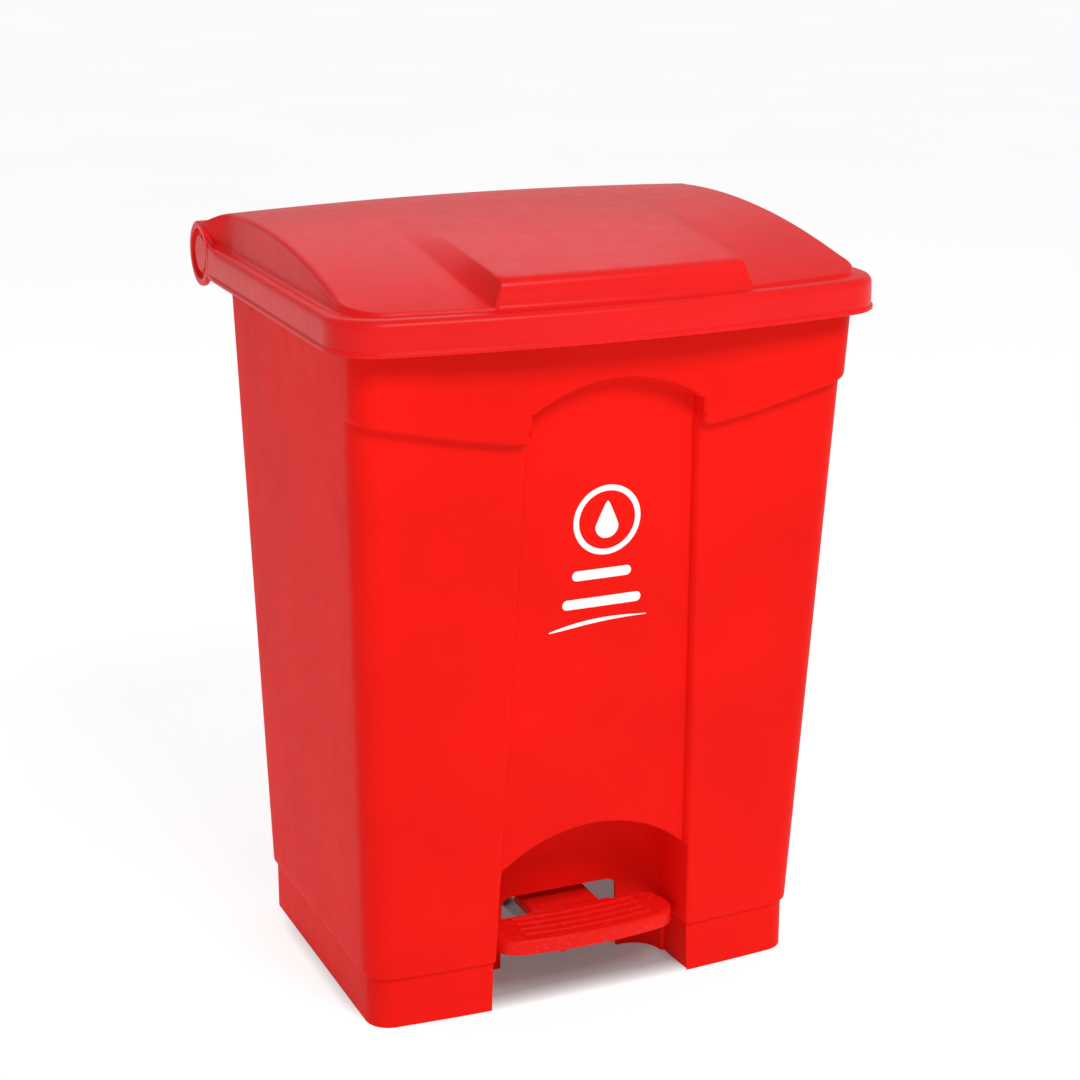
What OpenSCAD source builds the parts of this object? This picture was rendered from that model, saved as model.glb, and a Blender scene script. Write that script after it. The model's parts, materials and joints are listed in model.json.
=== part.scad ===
// Step-on pedal bin for laboratory waste, about 69 litres.
// Origin: centre of the footprint on the floor. X across, front faces -Y, Z up. Millimetres.

/* [Bin] */
// Height of the body's rim above the floor
bin_h = 622; // [520:1:760]
// Width of the body across the rim
rim_w = 448; // [360:1:560]
// Width of the body just above the plinth
base_w = 411; // [330:1:520]
// Depth of the body at the rim, measured at the corners
rim_d = 339.5; // [290:0.5:420]
// Depth of the body just above the plinth, measured at the corners
base_d = 290.5; // [250:0.5:360]
// How far the back wall leans back from plinth to rim
back_lean = 11.5; // [0:0.5:20]
// How far the front wall bows out in the middle
front_bow = 9.5; // [4:0.5:20]
// Radius of the upright corners
corner_r = 25; // [15:1:40]
// Wall thickness of the mouldings
wall = 3; // [2.5:0.1:4]
// Height of the plinth
plinth_h = 47.5; // [35:0.5:60]
// Step from the body in to the plinth
plinth_inset = 3.4; // [1:0.1:6]
// Height of the underside of the bin's floor
floor_z = 72; // [66:1:90]
// Outward lip round the rim
rim_lip = 3; // [1:0.5:6]

/* [Front face] */
// Depth of the recessed front panel
recess_depth = 8.7; // [4:0.1:12]
// Width of the recessed panel at the floor
recess_w_floor = 182.4; // [150:0.2:200]
// Width of the recessed panel where its arch springs
recess_w_top = 148; // [120:1:170]
// Height where the panel's arch springs
arch_z = 544; // [440:1:580]
// Rise of the panel's arch
arch_rise = 24; // [10:1:40]
// How far the collar stands proud of the front
collar_proud = 8.2; // [3:0.1:12]
// Height of the collar's lower edge beside the panel
collar_z = 520; // [420:1:560]
// Rise of the collar's lower edge out to the corners
collar_rise = 28; // [5:1:45]

/* [Pedal niche] */
// Height of the niche's arch
niche_h = 163; // [130:1:200]
// Radius of the niche's arch
niche_arch_r = 127; // [110:1:160]
// Depth of the niche from the front corners
niche_d = 65.7; // [50:0.1:80]
// Radius of the niche's corners in plan
niche_corner_r = 27; // [10:1:40]
// Width of the pedal slot in the niche's back wall
slot_w = 116; // [90:1:140]
// Height of the pedal slot
slot_h = 69; // [64:1:71]
// Radius of the pedal slot's upper corners
slot_r = 11; // [4:1:20]

/* [Lid] */
// Overhang of the lid past the rim at each side
lid_side_gap = 16.3; // [10:0.1:24]
// Overhang of the lid past the rim at the front corners
lid_front_gap = 20; // [14:0.5:30]
// How far the lid's front bows out in the middle
lid_bow = 22.7; // [10:0.1:30]
// Radius of the lid's front corners
lid_corner_r = 44; // [22:1:60]
// How far the skirt hangs below the rim
skirt_drop = 17; // [10:1:30]
// Height of the skirt up to the ledge
skirt_h = 28.5; // [22:0.5:40]
// Bead round the skirt's lower edge
bead = 1.5; // [0.5:0.1:2.5]
// Width of the ledge between skirt and dome at the sides
ledge_side = 12.5; // [8:0.5:20]
// Width of the ledge between skirt and dome at the front
ledge_front = 15; // [8:0.5:22]
// Height of the dome's crest above the ledge
dome_h = 39; // [25:0.5:60]
// Radius of the dome's arch from front to back
dome_r = 873; // [780:1:1400]
// Drop of the dome from its centre to its side creases
dome_crown = 5.2; // [2:0.1:8]
// Inward lean of the dome's sides
dome_lean = 5; // [2:0.5:12]
// Width of the raised centre panel of the dome
panel_w = 214; // [160:1:260]
// Height of the centre panel's nose above the dome at the front
nose_h = 21.5; // [8:0.5:30]

/* [Hinge] */
// Distance of the hinge axis behind the rim
hinge_gap = 20; // [19:0.5:24]
// Outer radius of the roll that covers the hinge
roll_r = 29; // [28:0.5:32]
// Diameter of the hinge rod
hinge_rod_d = 8; // [6:0.5:9]
// Opening angle of the lid
lid_open = 75; // [60:1:80]
// Lowest angle of the roll's lip behind the hinge, below horizontal
lip_angle = 50; // [30:1:52]
// Distance of the hinge brackets from the middle
bracket_x = 150; // [120:1:180]

/* [Linkage] */
// Distance of the lift rods from the middle
rod_x = 60; // [52:1:64]
// Diameter of the lift rods
rod_d = 6; // [5:0.5:7]
// Depth of the lift rods' line in front of the hinge axis
rod_reach = 24.2; // [22:0.1:26]
// Depth of the rod channels in the back wall
channel_depth = 20; // [20:0.5:26]
// Height of the pedal's pivot axis
pivot_z = 36; // [30:1:42]
// Place of the pedal's pivot axis behind the middle
pivot_y = 0; // [-20:1:20]
// Diameter of the pivot axle
axle_d = 8; // [6:0.5:10]
// Slope of the lever at rest, front end up
lever_slope = 5; // [4:0.1:6]
// Diameter of the rear crossbar
crossbar_d = 8; // [6:0.5:9]

/* [Pedal] */
// Width of the pedal's tread
tread_w = 173; // [130:1:174]
// Length of the tread from front to back
tread_l = 55; // [46:1:60]
// Thickness of the tread's edge
tread_t = 14; // [10:0.5:18]
// Height of the tread's top
tread_z = 62; // [56:0.5:64]
// Width of the tongue that runs back through the slot
tongue_w = 66; // [50:1:80]
// Angle of the tread's tapered ends
tread_taper = 20; // [0:1:25]
// Number of grip ridges
ridges = 4; // [2:1:4]
// Length of the grip ridges
ridge_l = 122; // [80:1:126]
// Distance between the grip ridges
ridge_pitch = 10.3; // [8:0.1:10.5]
// Thickness of the lever's steel bars
bar_t = 3; // [2:0.5:5]
// Height of the lever's steel bars
bar_h = 14; // [10:1:18]

/* [Fits] */
// Radial clearance of a shaft that turns in its hole
running = 0.06; // [0.03:0.01:0.09]
// Gap between pieces that move past each other
gap = 0.5; // [0.3:0.1:1]

/* [Hidden] */
$fn = 48;
big = 900;

// Layout from front to back, with the footprint centred on Y = 0
total_d = bead + lid_bow + lid_front_gap + rim_d + hinge_gap + roll_r;
lid_y = -total_d / 2 + bead + lid_bow;
rim_front_y = lid_y + lid_front_gap;
rim_back_y = rim_front_y + rim_d;
base_back_y = rim_back_y - back_lean;
base_front_y = base_back_y - base_d;
hinge_y = rim_back_y + hinge_gap;
hinge_z = bin_h + 0.7;

// Lid levels
lid_hw = rim_w / 2 + lid_side_gap;
skirt_z = bin_h - skirt_drop;
ledge_z = skirt_z + skirt_h;
crest_z = ledge_z + dome_h;
crest_back = 126;
shoulder_back = 38;
crest_y = hinge_y - crest_back;
shoulder_y = hinge_y - shoulder_back;
roll_top = hinge_z + roll_r;
dome_hw = lid_hw - ledge_side;

// Linkage levels: the crank swings evenly above and below the hinge axis
crank_rest = lid_open / 2;
// Share of the rods' straight rise that the turning cranks give at mid-stroke
rise_share = 0.959;
rod_rise = 2 * rod_reach * tan(crank_rest) * rise_share;
pin_z = hinge_z - rod_rise / 2;
lean = atan(back_lean / (bin_h - plinth_h));
rod_top_y = hinge_y - rod_reach;
rear_arm = (rod_top_y - pivot_y) - (pin_z - pivot_z) * tan(lean);
eye_z = pivot_z - rear_arm * tan(lever_slope);
eye_y = rod_top_y - (pin_z - eye_z) * tan(lean);
rod_len = (pin_z - eye_z) / cos(lean);
niche_y = base_front_y + niche_d;
tread_gap = 22;
bar_inset = 4.5;
tread_back_y = niche_y - tread_gap;
bar_x = tongue_w / 2 - bar_inset;

function mix(a, b, t) = a + (b - a) * t;
function smooth(t) = let(u = max(0, min(1, t))) u * u * (3 - 2 * u);
function up(z) = (z - plinth_h) / (bin_h - plinth_h);
function half_w(z) = mix(base_w, rim_w, up(z)) / 2;
function front_y(z) = mix(base_front_y, rim_front_y, up(z));
function back_y(z) = mix(base_back_y, rim_back_y, up(z));
function recess_hw(z) = mix(recess_w_floor, recess_w_top, z / arch_z) / 2;
function arc(cx, cy, r, a0, a1, n) = [
    for (i = [0:n]) let(a = mix(a0, a1, i / n)) [cx + r * cos(a), cy + r * sin(a)]
];

// Plan of a box with a bowed front, straight sides and rounded corners, anticlockwise
function plan(hw, yf, yb, bow, rf, rb) =
    let(big_r = (hw * hw + bow * bow) / (2 * bow),
        cy = yf - bow + big_r,
        a = asin((hw - rf) / (big_r - rf)),
        fy = cy - (big_r - rf) * cos(a))
    concat(
        arc(0, cy, big_r, -90 - a, -90 + a, 12),
        [for (i = [1:6]) let(t = mix(-90 + a, 0, i / 6)) [hw - rf + rf * cos(t), fy + rf * sin(t)]],
        arc(hw - rb, yb - rb, rb, 0, 90, 6),
        arc(-hw + rb, yb - rb, rb, 90, 180, 6),
        [for (i = [0:5]) let(t = mix(180, 270 - a, i / 6)) [-hw + rf + rf * cos(t), fy + rf * sin(t)]]);

// Like plan, but with ends that taper towards the back by an angle
function tapered_plan(hw, yf, yb, bow, rf, rb, taper) =
    let(big_r = (hw * hw + bow * bow) / (2 * bow),
        cy = yf - bow + big_r,
        a = asin((hw - rf) / (big_r - rf)),
        fy = cy - (big_r - rf) * cos(a),
        bx = hw - rf + (rf - rb - (yb - rb - fy) * sin(taper)) / cos(taper),
        right = concat(
            arc(0, cy, big_r, -90, -90 + a, 8),
            [for (i = [1:6]) let(t = mix(-90 + a, taper, i / 6)) [hw - rf + rf * cos(t), fy + rf * sin(t)]],
            arc(bx, yb - rb, rb, taper, 90, 4)),
        n = len(right))
    concat(right, [for (i = [n - 1:-1:1]) [-right[i][0], right[i][1]]]);

function body_plan(z, inset = 0, front = 0, back = 0) =
    plan(half_w(z) - inset, front_y(z) + inset - front, back_y(z) - inset + back,
         front_bow, corner_r - inset, corner_r - inset);
function lid_plan(inset) =
    plan(lid_hw - inset, lid_y + inset, hinge_y, lid_bow, lid_corner_r - inset, 1);

// Solid skinned over rings of equal length.
// Each ring is a list of 3-D points, anticlockwise as seen from the last ring.
module skin(rings) {
    n = len(rings[0]);
    m = len(rings);
    pts = [for (r = rings) each r];
    sides = [for (k = [0:m - 2]) for (i = [0:n - 1]) let(j = (i + 1) % n, a = k * n, b = a + n)
        each [[a + i, b + i, b + j], [a + i, b + j, a + j]]];
    first = [for (i = [0:n - 1]) i];
    last = [for (i = [n - 1:-1:0]) (m - 1) * n + i];
    polyhedron(points = pts, faces = concat([first], sides, [last]), convexity = 8);
}

function lift(outline, z) = [for (p = outline) [p[0], p[1], z]];

// Tapered body volume between two heights
module body_volume(z0, z1, inset = 0, front = 0, back = 0) {
    skin([lift(body_plan(z0, inset, front, back), z0), lift(body_plan(z1, inset, front, back), z1)]);
}

// Prism of an outline given in X and Z, running from y0 to y1
module along_y(y0, y1) {
    translate([0, y1, 0]) rotate([90, 0, 0]) linear_extrude(y1 - y0) children();
}

// Prism of an outline given in Y and Z, centred on x
module along_x(x, t) {
    translate([x - t / 2, 0, 0]) rotate([90, 0, 90]) linear_extrude(t) children();
}

// Cylinder lying along X, centred on x
module pin_x(x, y, z, r, l) {
    translate([x - l / 2, y, z]) rotate([0, 90, 0]) cylinder(r = r, h = l);
}

module mirrored(side) {
    if (side < 0) {
        mirror([1, 0, 0]) children();
    } else {
        children();
    }
}

/* ---- body ---- */

function arch_points(hw, z, rise, extra) =
    let(r = (hw * hw + rise * rise) / (2 * rise), a = asin(hw / r))
    arc(0, z + rise - r, r + extra, 90 - a, 90 + a, 16);

module recess_outline(extra = 0) {
    hw = recess_hw(arch_z) + extra;
    foot = recess_hw(-extra) + extra;
    polygon(concat([[-foot, -extra], [foot, -extra]], arch_points(hw, arch_z, arch_rise + extra, 0)));
}

module niche_outline(extra = 0) {
    a = asin(recess_hw(niche_h - 30) / niche_arch_r);
    r = niche_arch_r + extra;
    foot = recess_hw(0) + extra;
    polygon(concat([[-foot, -1], [foot, -1]], arc(0, niche_h - niche_arch_r, r, 90 - a, 90 + a, 16)));
}

module niche_plan(extra = 0) {
    hw = recess_hw(0) + extra;
    yb = niche_y + extra;
    r = niche_corner_r + extra;
    polygon(concat([[-hw, -big], [hw, -big]],
        arc(hw - r, yb - r, r, 0, 90, 8), arc(-hw + r, yb - r, r, 90, 180, 8)));
}

module niche(extra = 0) {
    intersection() {
        along_y(-big / 2, 0) niche_outline(extra);
        translate([0, 0, -1]) linear_extrude(niche_h + extra + 2) niche_plan(extra);
    }
}

module slot_outline() {
    hw = slot_w / 2;
    polygon(concat([[-hw, -1], [hw, -1]],
        arc(hw - slot_r, slot_h - slot_r, slot_r, 0, 90, 6),
        arc(-hw + slot_r, slot_h - slot_r, slot_r, 90, 180, 6)));
}

module collar_outline() {
    out = half_w(collar_z) + 10;
    in = recess_hw(collar_z);
    bend = 8;
    polygon(concat(
        [for (i = [0:8]) let(t = i / 8) [mix(in + bend, out, t), collar_z + collar_rise * pow(t, 1.25)]],
        [[out, bin_h], [-out, bin_h]],
        [for (i = [8:-1:0]) let(t = i / 8) [-mix(in + bend, out, t), collar_z + collar_rise * pow(t, 1.25)]],
        [[-in, collar_z + bend], [-in, arch_z], [in, arch_z], [in, collar_z + bend]]));
}

channel_in = rod_x - rod_d / 2 - 11;
channel_out = rod_x + rod_d / 2 + 23;
// Height of the strip left below the notch that the lever's end moves in
notch_z = 7;

module channel_outline(z0, extra = 0) {
    for (s = [-1, 1]) {
        mirrored(s) translate([channel_in - extra, z0])
            square([channel_out - channel_in + 2 * extra, bin_h + 10 - z0]);
    }
}

module body_outer() {
    body_volume(plinth_h, bin_h);
    linear_extrude(plinth_h + 1) polygon(body_plan(plinth_h, plinth_inset));
    intersection() {
        body_volume(plinth_h, bin_h, front = collar_proud);
        along_y(-big / 2, base_front_y + corner_r) collar_outline();
    }
    translate([0, 0, bin_h - 6]) linear_extrude(6) polygon(body_plan(bin_h, -rim_lip));
}

module body_cavity() {
    difference() {
        body_volume(floor_z + wall, bin_h + 1, wall);
        difference() {
            along_y(-big / 2, 0) recess_outline(wall);
            body_volume(plinth_h, bin_h + 5, wall, front = -recess_depth);
        }
        niche(wall);
        difference() {
            along_y(0, big / 2) channel_outline(0, wall);
            body_volume(plinth_h, bin_h + 20, wall, back = -channel_depth);
        }
    }
}

module body_shell() {
    color("red") difference() {
        body_outer();
        body_cavity();
        difference() {
            translate([0, 0, -1])
                linear_extrude(floor_z + 1) polygon(body_plan(plinth_h, plinth_inset + wall));
            niche(wall);
        }
        difference() {
            along_y(-big / 2, 0) recess_outline(0);
            body_volume(-2, bin_h + 5, front = -recess_depth);
        }
        niche();
        along_y(niche_y - 1, niche_y + wall + 1) slot_outline();
        difference() {
            along_y(0, big / 2) channel_outline(floor_z);
            body_volume(-2, bin_h + 20, back = -channel_depth);
        }
        translate([-channel_out, base_back_y - 40, notch_z]) cube([2 * channel_out, 80, floor_z - notch_z]);
        hinge_screws();
        guide_screws();
        pivot_screws();
    }
}

/* ---- lid ---- */

function wing_z(y) = crest_z - pow(y - crest_y, 2) / (2 * dome_r);
panel_r = pow(crest_y - lid_y, 2) / (2 * (crest_z - wing_z(lid_y) - nose_h));
function panel_z(y) = crest_z + 0.6 - pow(y - crest_y, 2) / (2 * panel_r);
function to_roll(y) = smooth((y - shoulder_y) / (hinge_y - shoulder_y));
function crown(x) = dome_crown * pow(x / dome_hw, 2);

// Section across the dome at one depth, anticlockwise from its left foot: wing, raised panel, wing
function dome_ring(y, t) =
    let(s = to_roll(y),
        foot = skirt_z + 1,
        wing = mix(wing_z(y), roll_top - 2, s) - t,
        panel = mix(panel_z(y), roll_top - 1.5, s) - t,
        rise = max(0, wing - dome_crown - ledge_z),
        edge = dome_hw - t - dome_lean * rise / dome_h,
        step_in = panel_w / 2 - t,
        step_out = step_in + 2,
        right = concat(
            [for (u = [1, 0.67, 0.33, 0]) let(x = mix(step_out, edge, u))
                [x, y, max(foot + 1, wing - crown(x) * (1 - 0.8 * s))]],
            [for (u = [1, 0.5]) let(x = step_in * u) [x, y, panel - crown(x) * (1 - 0.8 * s)]]),
        n = len(right))
    concat([[-dome_hw + t, y, foot], [dome_hw - t, y, foot]], right, [[0, y, panel]],
        [for (i = [n - 1:-1:0]) [-right[i][0], y, right[i][2]]]);

// Depths of the dome's sections, from the back to the front
function stations(y0) = concat(
    [for (i = [0:5]) mix(hinge_y + 1, shoulder_y, i / 5)],
    [for (i = [1:12]) mix(shoulder_y, y0, i / 12)]);

module dome(t = 0) {
    intersection() {
        skin([for (y = stations(lid_y - lid_bow)) dome_ring(y, t)]);
        linear_extrude(big) polygon(plan(dome_hw - t, lid_y + ledge_front + t, hinge_y + 5, lid_bow,
            lid_corner_r - 6 - t, 1));
    }
}

// Roll that covers the hinge, as a prism between two planes
module roll(r, hw) {
    along_x(0, 2 * hw) polygon(arc(hinge_y, hinge_z, r, 3.75, 363.75, 48));
}

module lid_skirt() {
    skin([
        lift(lid_plan(-bead), skirt_z),
        lift(lid_plan(-bead), skirt_z + 3.5),
        lift(lid_plan(0), skirt_z + 5),
        lift(lid_plan(0), ledge_z - 7),
        lift(lid_plan(1.5), ledge_z - 2.5),
        lift(lid_plan(5.5), ledge_z)
    ]);
}

cap_recess_r = 22;
cap_recess_d = 4;
cap_hub_r = 9;
plate_t = 3.3;
plate_out = lid_hw - cap_recess_d;
plate_in = plate_out - plate_t;

// Blocks under the dome that the cranks' feet screw to
seat_z = hinge_z + roll_r - wall - 1;
seat_l = 28;
seat_front = 36;
module crank_seats() {
    intersection() {
        for (s = [-1, 1]) {
            mirrored(s) translate([crank_x - crank_t / 2, hinge_y - seat_front, seat_z])
                cube([foot_w, seat_l, dome_h]);
        }
        dome(0.6);
    }
}

module lid_shell() {
    color("red") difference() {
        union() {
            difference() {
                union() {
                    lid_skirt();
                    dome();
                    roll(roll_r, lid_hw);
                }
                translate([0, 0, skirt_z - 1])
                    linear_extrude(skirt_h - wall + 1)
                        polygon(plan(plate_in, lid_y + wall, hinge_y + 5, lid_bow, lid_corner_r - wall, 1));
                dome(wall);
                roll(roll_r - wall, plate_in);
                along_x(0, 2 * plate_in) polygon([
                    [hinge_y, hinge_z],
                    [hinge_y + 60 * cos(lip_angle), hinge_z - 60 * sin(lip_angle)],
                    [hinge_y - 80, hinge_z - 60],
                    [hinge_y - 80, ledge_z - wall],
                    [hinge_y, ledge_z - wall]]);
            }
            crank_seats();
        }
        for (s = [-1, 1]) {
            pin_x(s * lid_hw, hinge_y, hinge_z, cap_recess_r, 2 * cap_recess_d);
            pin_x(s * plate_in, hinge_y, hinge_z, cap_hub_r, 20);
        }
        crank_screws();
    }
}

module hinge_cap(side) {
    color("darkred") mirrored(side) difference() {
        union() {
            pin_x(plate_out + 1.25, hinge_y, hinge_z, cap_recess_r - 6, 2.5);
            pin_x(plate_out - 7, hinge_y, hinge_z, cap_hub_r, 14);
        }
        pin_x(plate_out - 14, hinge_y, hinge_z, hinge_rod_d / 2 + running, 24);
    }
}

/* ---- hinge ---- */

screw_d = 4;
screw_head_d = 8;
bracket_w = 22;
bracket_foot_z = hinge_z - 18;

module hinge_bracket(side) {
    color("red") mirrored(side) difference() {
        union() {
            pin_x(bracket_x, hinge_y, hinge_z, hinge_rod_d / 2 + 6, bracket_w);
            translate([bracket_x - bracket_w / 2, rim_back_y + rim_lip, hinge_z - 7])
                cube([bracket_w, hinge_gap - rim_lip, 14]);
            along_x(bracket_x, bracket_w) polygon([
                [back_y(bracket_foot_z), bracket_foot_z],
                [hinge_y - 5, hinge_z - 7],
                [rim_back_y + rim_lip, hinge_z - 6.7],
                [back_y(bin_h - 6), bin_h - 6]]);
        }
        pin_x(bracket_x, hinge_y, hinge_z, hinge_rod_d / 2, bracket_w + 2);
        hinge_screws();
    }
}

module hinge_rod() {
    color("silver") pin_x(0, hinge_y, hinge_z, hinge_rod_d / 2, 2 * (plate_out - 4));
}

// Screw that lies along Y with its head at y0 and its point at y0 + l
module screw_y(x, y0, z, l) {
    translate([x, y0, z]) rotate([-90, 0, 0]) {
        cylinder(d = screw_d, h = l);
        cylinder(d = screw_head_d, h = 2);
    }
}

module hinge_screws() {
    color("silver") for (x = [-bracket_x, bracket_x]) {
        for (dx = [-5, 5]) {
            screw_y(x + dx, back_y(hinge_z - 11) - wall - 2, hinge_z - 11, wall + 6);
        }
    }
}

/* ---- lift linkage ---- */

crank_t = 3;
crank_x = rod_x + rod_d / 2 + 5;
foot_w = 24;
slot_rim = 3.5;
web_front = 20;
web_rear = 7;
crank_screw_x = crank_x + foot_w - 9;
crank_screw_y = [hinge_y - 30, hinge_y - 14];
// Slack each side of the rod's pin in the crank's slot
pin_slack = 0.95;
slot_half = rod_d / 2 + pin_slack;
slot_far = rod_reach / cos(crank_rest);

module lid_crank(side) {
    color("silver") mirrored(side) difference() {
        union() {
            pin_x(crank_x, hinge_y, hinge_z, hinge_rod_d / 2 + 5, crank_t);
            translate([crank_x, hinge_y, hinge_z]) rotate([crank_rest, 0, 0]) {
                translate([-crank_t / 2, -slot_far, -slot_half - slot_rim])
                    cube([crank_t, slot_far, 2 * (slot_half + slot_rim)]);
                translate([0, -slot_far, 0]) rotate([0, 90, 0])
                    cylinder(r = slot_half + slot_rim, h = crank_t, center = true);
            }
            translate([crank_x - crank_t / 2, hinge_y - web_front, hinge_z])
                cube([crank_t, web_front + web_rear, seat_z - hinge_z]);
            translate([crank_x - crank_t / 2, hinge_y - seat_front, seat_z - crank_t])
                cube([foot_w, seat_l, crank_t]);
        }
        pin_x(crank_x, hinge_y, hinge_z, hinge_rod_d / 2 + running, crank_t + 2);
        translate([crank_x, hinge_y, hinge_z]) rotate([crank_rest, 0, 0]) {
            for (r = [rod_reach - 0.3, slot_far]) {
                translate([0, -r, 0]) rotate([0, 90, 0])
                    cylinder(r = slot_half, h = crank_t + 2, center = true);
            }
            translate([-crank_t, -slot_far, -slot_half])
                cube([2 * crank_t, slot_far - rod_reach + 0.3, 2 * slot_half]);
        }
        crank_screws();
    }
}

module crank_screws() {
    color("silver") for (s = [-1, 1]) {
        for (y = crank_screw_y) {
            translate([s * crank_screw_x, y, seat_z - crank_t - 2]) {
                cylinder(d = screw_d, h = crank_t + 9);
                cylinder(d = screw_head_d, h = 2);
            }
        }
    }
}

// Frame that stands on the eye of a lift rod and leans with the back wall
module on_rod(side) {
    mirrored(side) translate([rod_x, eye_y, eye_z]) rotate([-lean, 0, 0]) children();
}

// Slack in the rod's eye, forwards and backwards, for the arc that the lever's end swings through
eye_slack = 2;
eye_lead = 1;

module lift_rod(side) {
    color("silver") on_rod(side) {
        difference() {
            union() {
                cylinder(d = rod_d, h = rod_len);
                for (dy = [-eye_slack, eye_lead]) {
                    translate([0, dy, 0]) rotate([0, 90, 0])
                        cylinder(r = crossbar_d / 2 + 4, h = rod_d + 1, center = true);
                }
                translate([-(rod_d + 1) / 2, -eye_slack, -crossbar_d / 2 - 4])
                    cube([rod_d + 1, eye_slack + eye_lead, crossbar_d + 8]);
            }
            for (dy = [-eye_slack, eye_lead]) {
                translate([0, dy, 0]) rotate([0, 90, 0])
                    cylinder(r = crossbar_d / 2 + gap, h = rod_d + 4, center = true);
            }
            translate([-rod_d, -eye_slack, -crossbar_d / 2 - gap])
                cube([2 * rod_d, eye_slack + eye_lead, crossbar_d + 2 * gap]);
        }
        translate([0, 0, rod_len]) sphere(d = rod_d + 0.4);
        translate([0, 0, rod_len]) rotate([0, 90, 0]) cylinder(d = rod_d, h = 17);
    }
}

module rod_clip(side) {
    clip_x = crank_x - rod_x + crank_t / 2 + 2;
    color("dimgray") on_rod(side) translate([clip_x, 0, rod_len]) rotate([0, 90, 0])
        difference() {
            cylinder(r = rod_d / 2 + 3, h = 1.5);
            translate([0, 0, -1]) cylinder(r = rod_d / 2, h = 4);
        }
}

guide_h = 16;
guide_w = 22;
guide_levels = [0.28, 0.80];

module rod_guide(side, level) {
    z0 = level * rod_len;
    color("dimgray") on_rod(side) difference() {
        translate([-guide_w / 2, -channel_depth + guide_back, z0])
            cube([guide_w, channel_depth - guide_back + 5, guide_h]);
        translate([0, 0, z0 - 1]) cylinder(r = rod_d / 2 + running, h = guide_h + 2);
        translate([-guide_w / 2 - 1, -5, z0 - 1]) cube([guide_w / 2 - 5, 20, guide_h + 2]);
        translate([6, -5, z0 - 1]) cube([guide_w / 2, 20, guide_h + 2]);
        rod_screws(level);
    }
}

// Depth of the rods' line below the back wall's face
rod_sunk = rim_back_y - rod_top_y - (bin_h - pin_z) * tan(lean);
guide_back = rod_sunk + 0.05;

// Two screws that hold a guide to the channel, in the rod's frame
module rod_screws(level) {
    for (dx = [-8, 8]) {
        translate([dx, -3, level * rod_len + guide_h / 2]) rotate([90, 0, 0]) {
            cylinder(d = 3, h = channel_depth - rod_sunk - 3 + wall);
            cylinder(d = 5, h = 2);
        }
    }
}

module guide_screws() {
    color("silver") for (s = [-1, 1]) {
        for (level = guide_levels) {
            on_rod(s) rod_screws(level);
        }
    }
}

/* ---- pedal ---- */

bracket_foot = 26;
pivot_bracket_x = bar_x + bar_t / 2 + 6;
pivot_bracket_t = 6;

module pivot_bracket(side) {
    color("dimgray") mirrored(side) difference() {
        union() {
            pin_x(pivot_bracket_x, pivot_y, pivot_z, axle_d / 2 + 6, pivot_bracket_t);
            translate([pivot_bracket_x - pivot_bracket_t / 2, pivot_y - axle_d / 2 - 6, pivot_z])
                cube([pivot_bracket_t, axle_d + 12, floor_z - pivot_z]);
            translate([pivot_bracket_x - pivot_bracket_t / 2, pivot_y - 16, floor_z - 5])
                cube([bracket_foot, 32, 5]);
        }
        pin_x(pivot_bracket_x, pivot_y, pivot_z, axle_d / 2, pivot_bracket_t + 2);
        pivot_screws();
    }
}

module pivot_screws() {
    color("silver") for (s = [-1, 1]) {
        for (dy = [-9, 9]) {
            translate([s * (pivot_bracket_x + bracket_foot / 2), pivot_y + dy, floor_z - 7]) {
                cylinder(d = screw_d, h = 7 + wall - 0.4);
                cylinder(d = screw_head_d, h = 2);
            }
        }
    }
}

axle_hw = pivot_bracket_x + pivot_bracket_t / 2 + 5;

module pivot_axle() {
    color("silver") pin_x(0, pivot_y, pivot_z, axle_d / 2, 2 * axle_hw);
}

module axle_clips() {
    color("dimgray") for (s = [-1, 1]) {
        difference() {
            pin_x(s * (axle_hw - 2.5), pivot_y, pivot_z, axle_d / 2 + 3.5, 1.5);
            pin_x(s * (axle_hw - 2.5), pivot_y, pivot_z, axle_d / 2, 4);
        }
    }
}

// Frame at the pivot that leans with the lever: -Y runs forward and up
module on_lever() {
    translate([0, pivot_y, pivot_z]) rotate([-lever_slope, 0, 0]) children();
}

lever_back = rear_arm / cos(lever_slope);
lever_front = (pivot_y - tread_back_y + tread_l * 0.7) / cos(lever_slope);

module lever_bar(side) {
    color("silver") mirrored(side) on_lever() difference() {
        union() {
            translate([bar_x - bar_t / 2, -lever_front, -bar_h / 2])
                cube([bar_t, lever_front + lever_back, bar_h]);
            translate([bar_x, lever_back, 0]) rotate([0, 90, 0])
                cylinder(d = bar_h, h = bar_t, center = true);
        }
        rotate([0, 90, 0]) cylinder(r = axle_d / 2 + running, h = 200, center = true);
        translate([0, lever_back, 0]) rotate([0, 90, 0]) cylinder(d = crossbar_d, h = 200, center = true);
        for (d = screw_steps) {
            translate([0, -lever_front + d, 0]) rotate([0, 90, 0])
                cylinder(d = screw_d, h = 200, center = true);
        }
    }
}

module pivot_tube() {
    color("silver") difference() {
        pin_x(0, pivot_y, pivot_z, axle_d / 2 + 3, 2 * bar_x - bar_t);
        pin_x(0, pivot_y, pivot_z, axle_d / 2 + running, 2 * bar_x);
    }
}

crossbar_hw = rod_x + rod_d / 2 + 6;

module rear_crossbar() {
    color("silver") on_lever() translate([0, lever_back, 0]) rotate([0, 90, 0])
        cylinder(d = crossbar_d, h = 2 * crossbar_hw, center = true);
}

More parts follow.
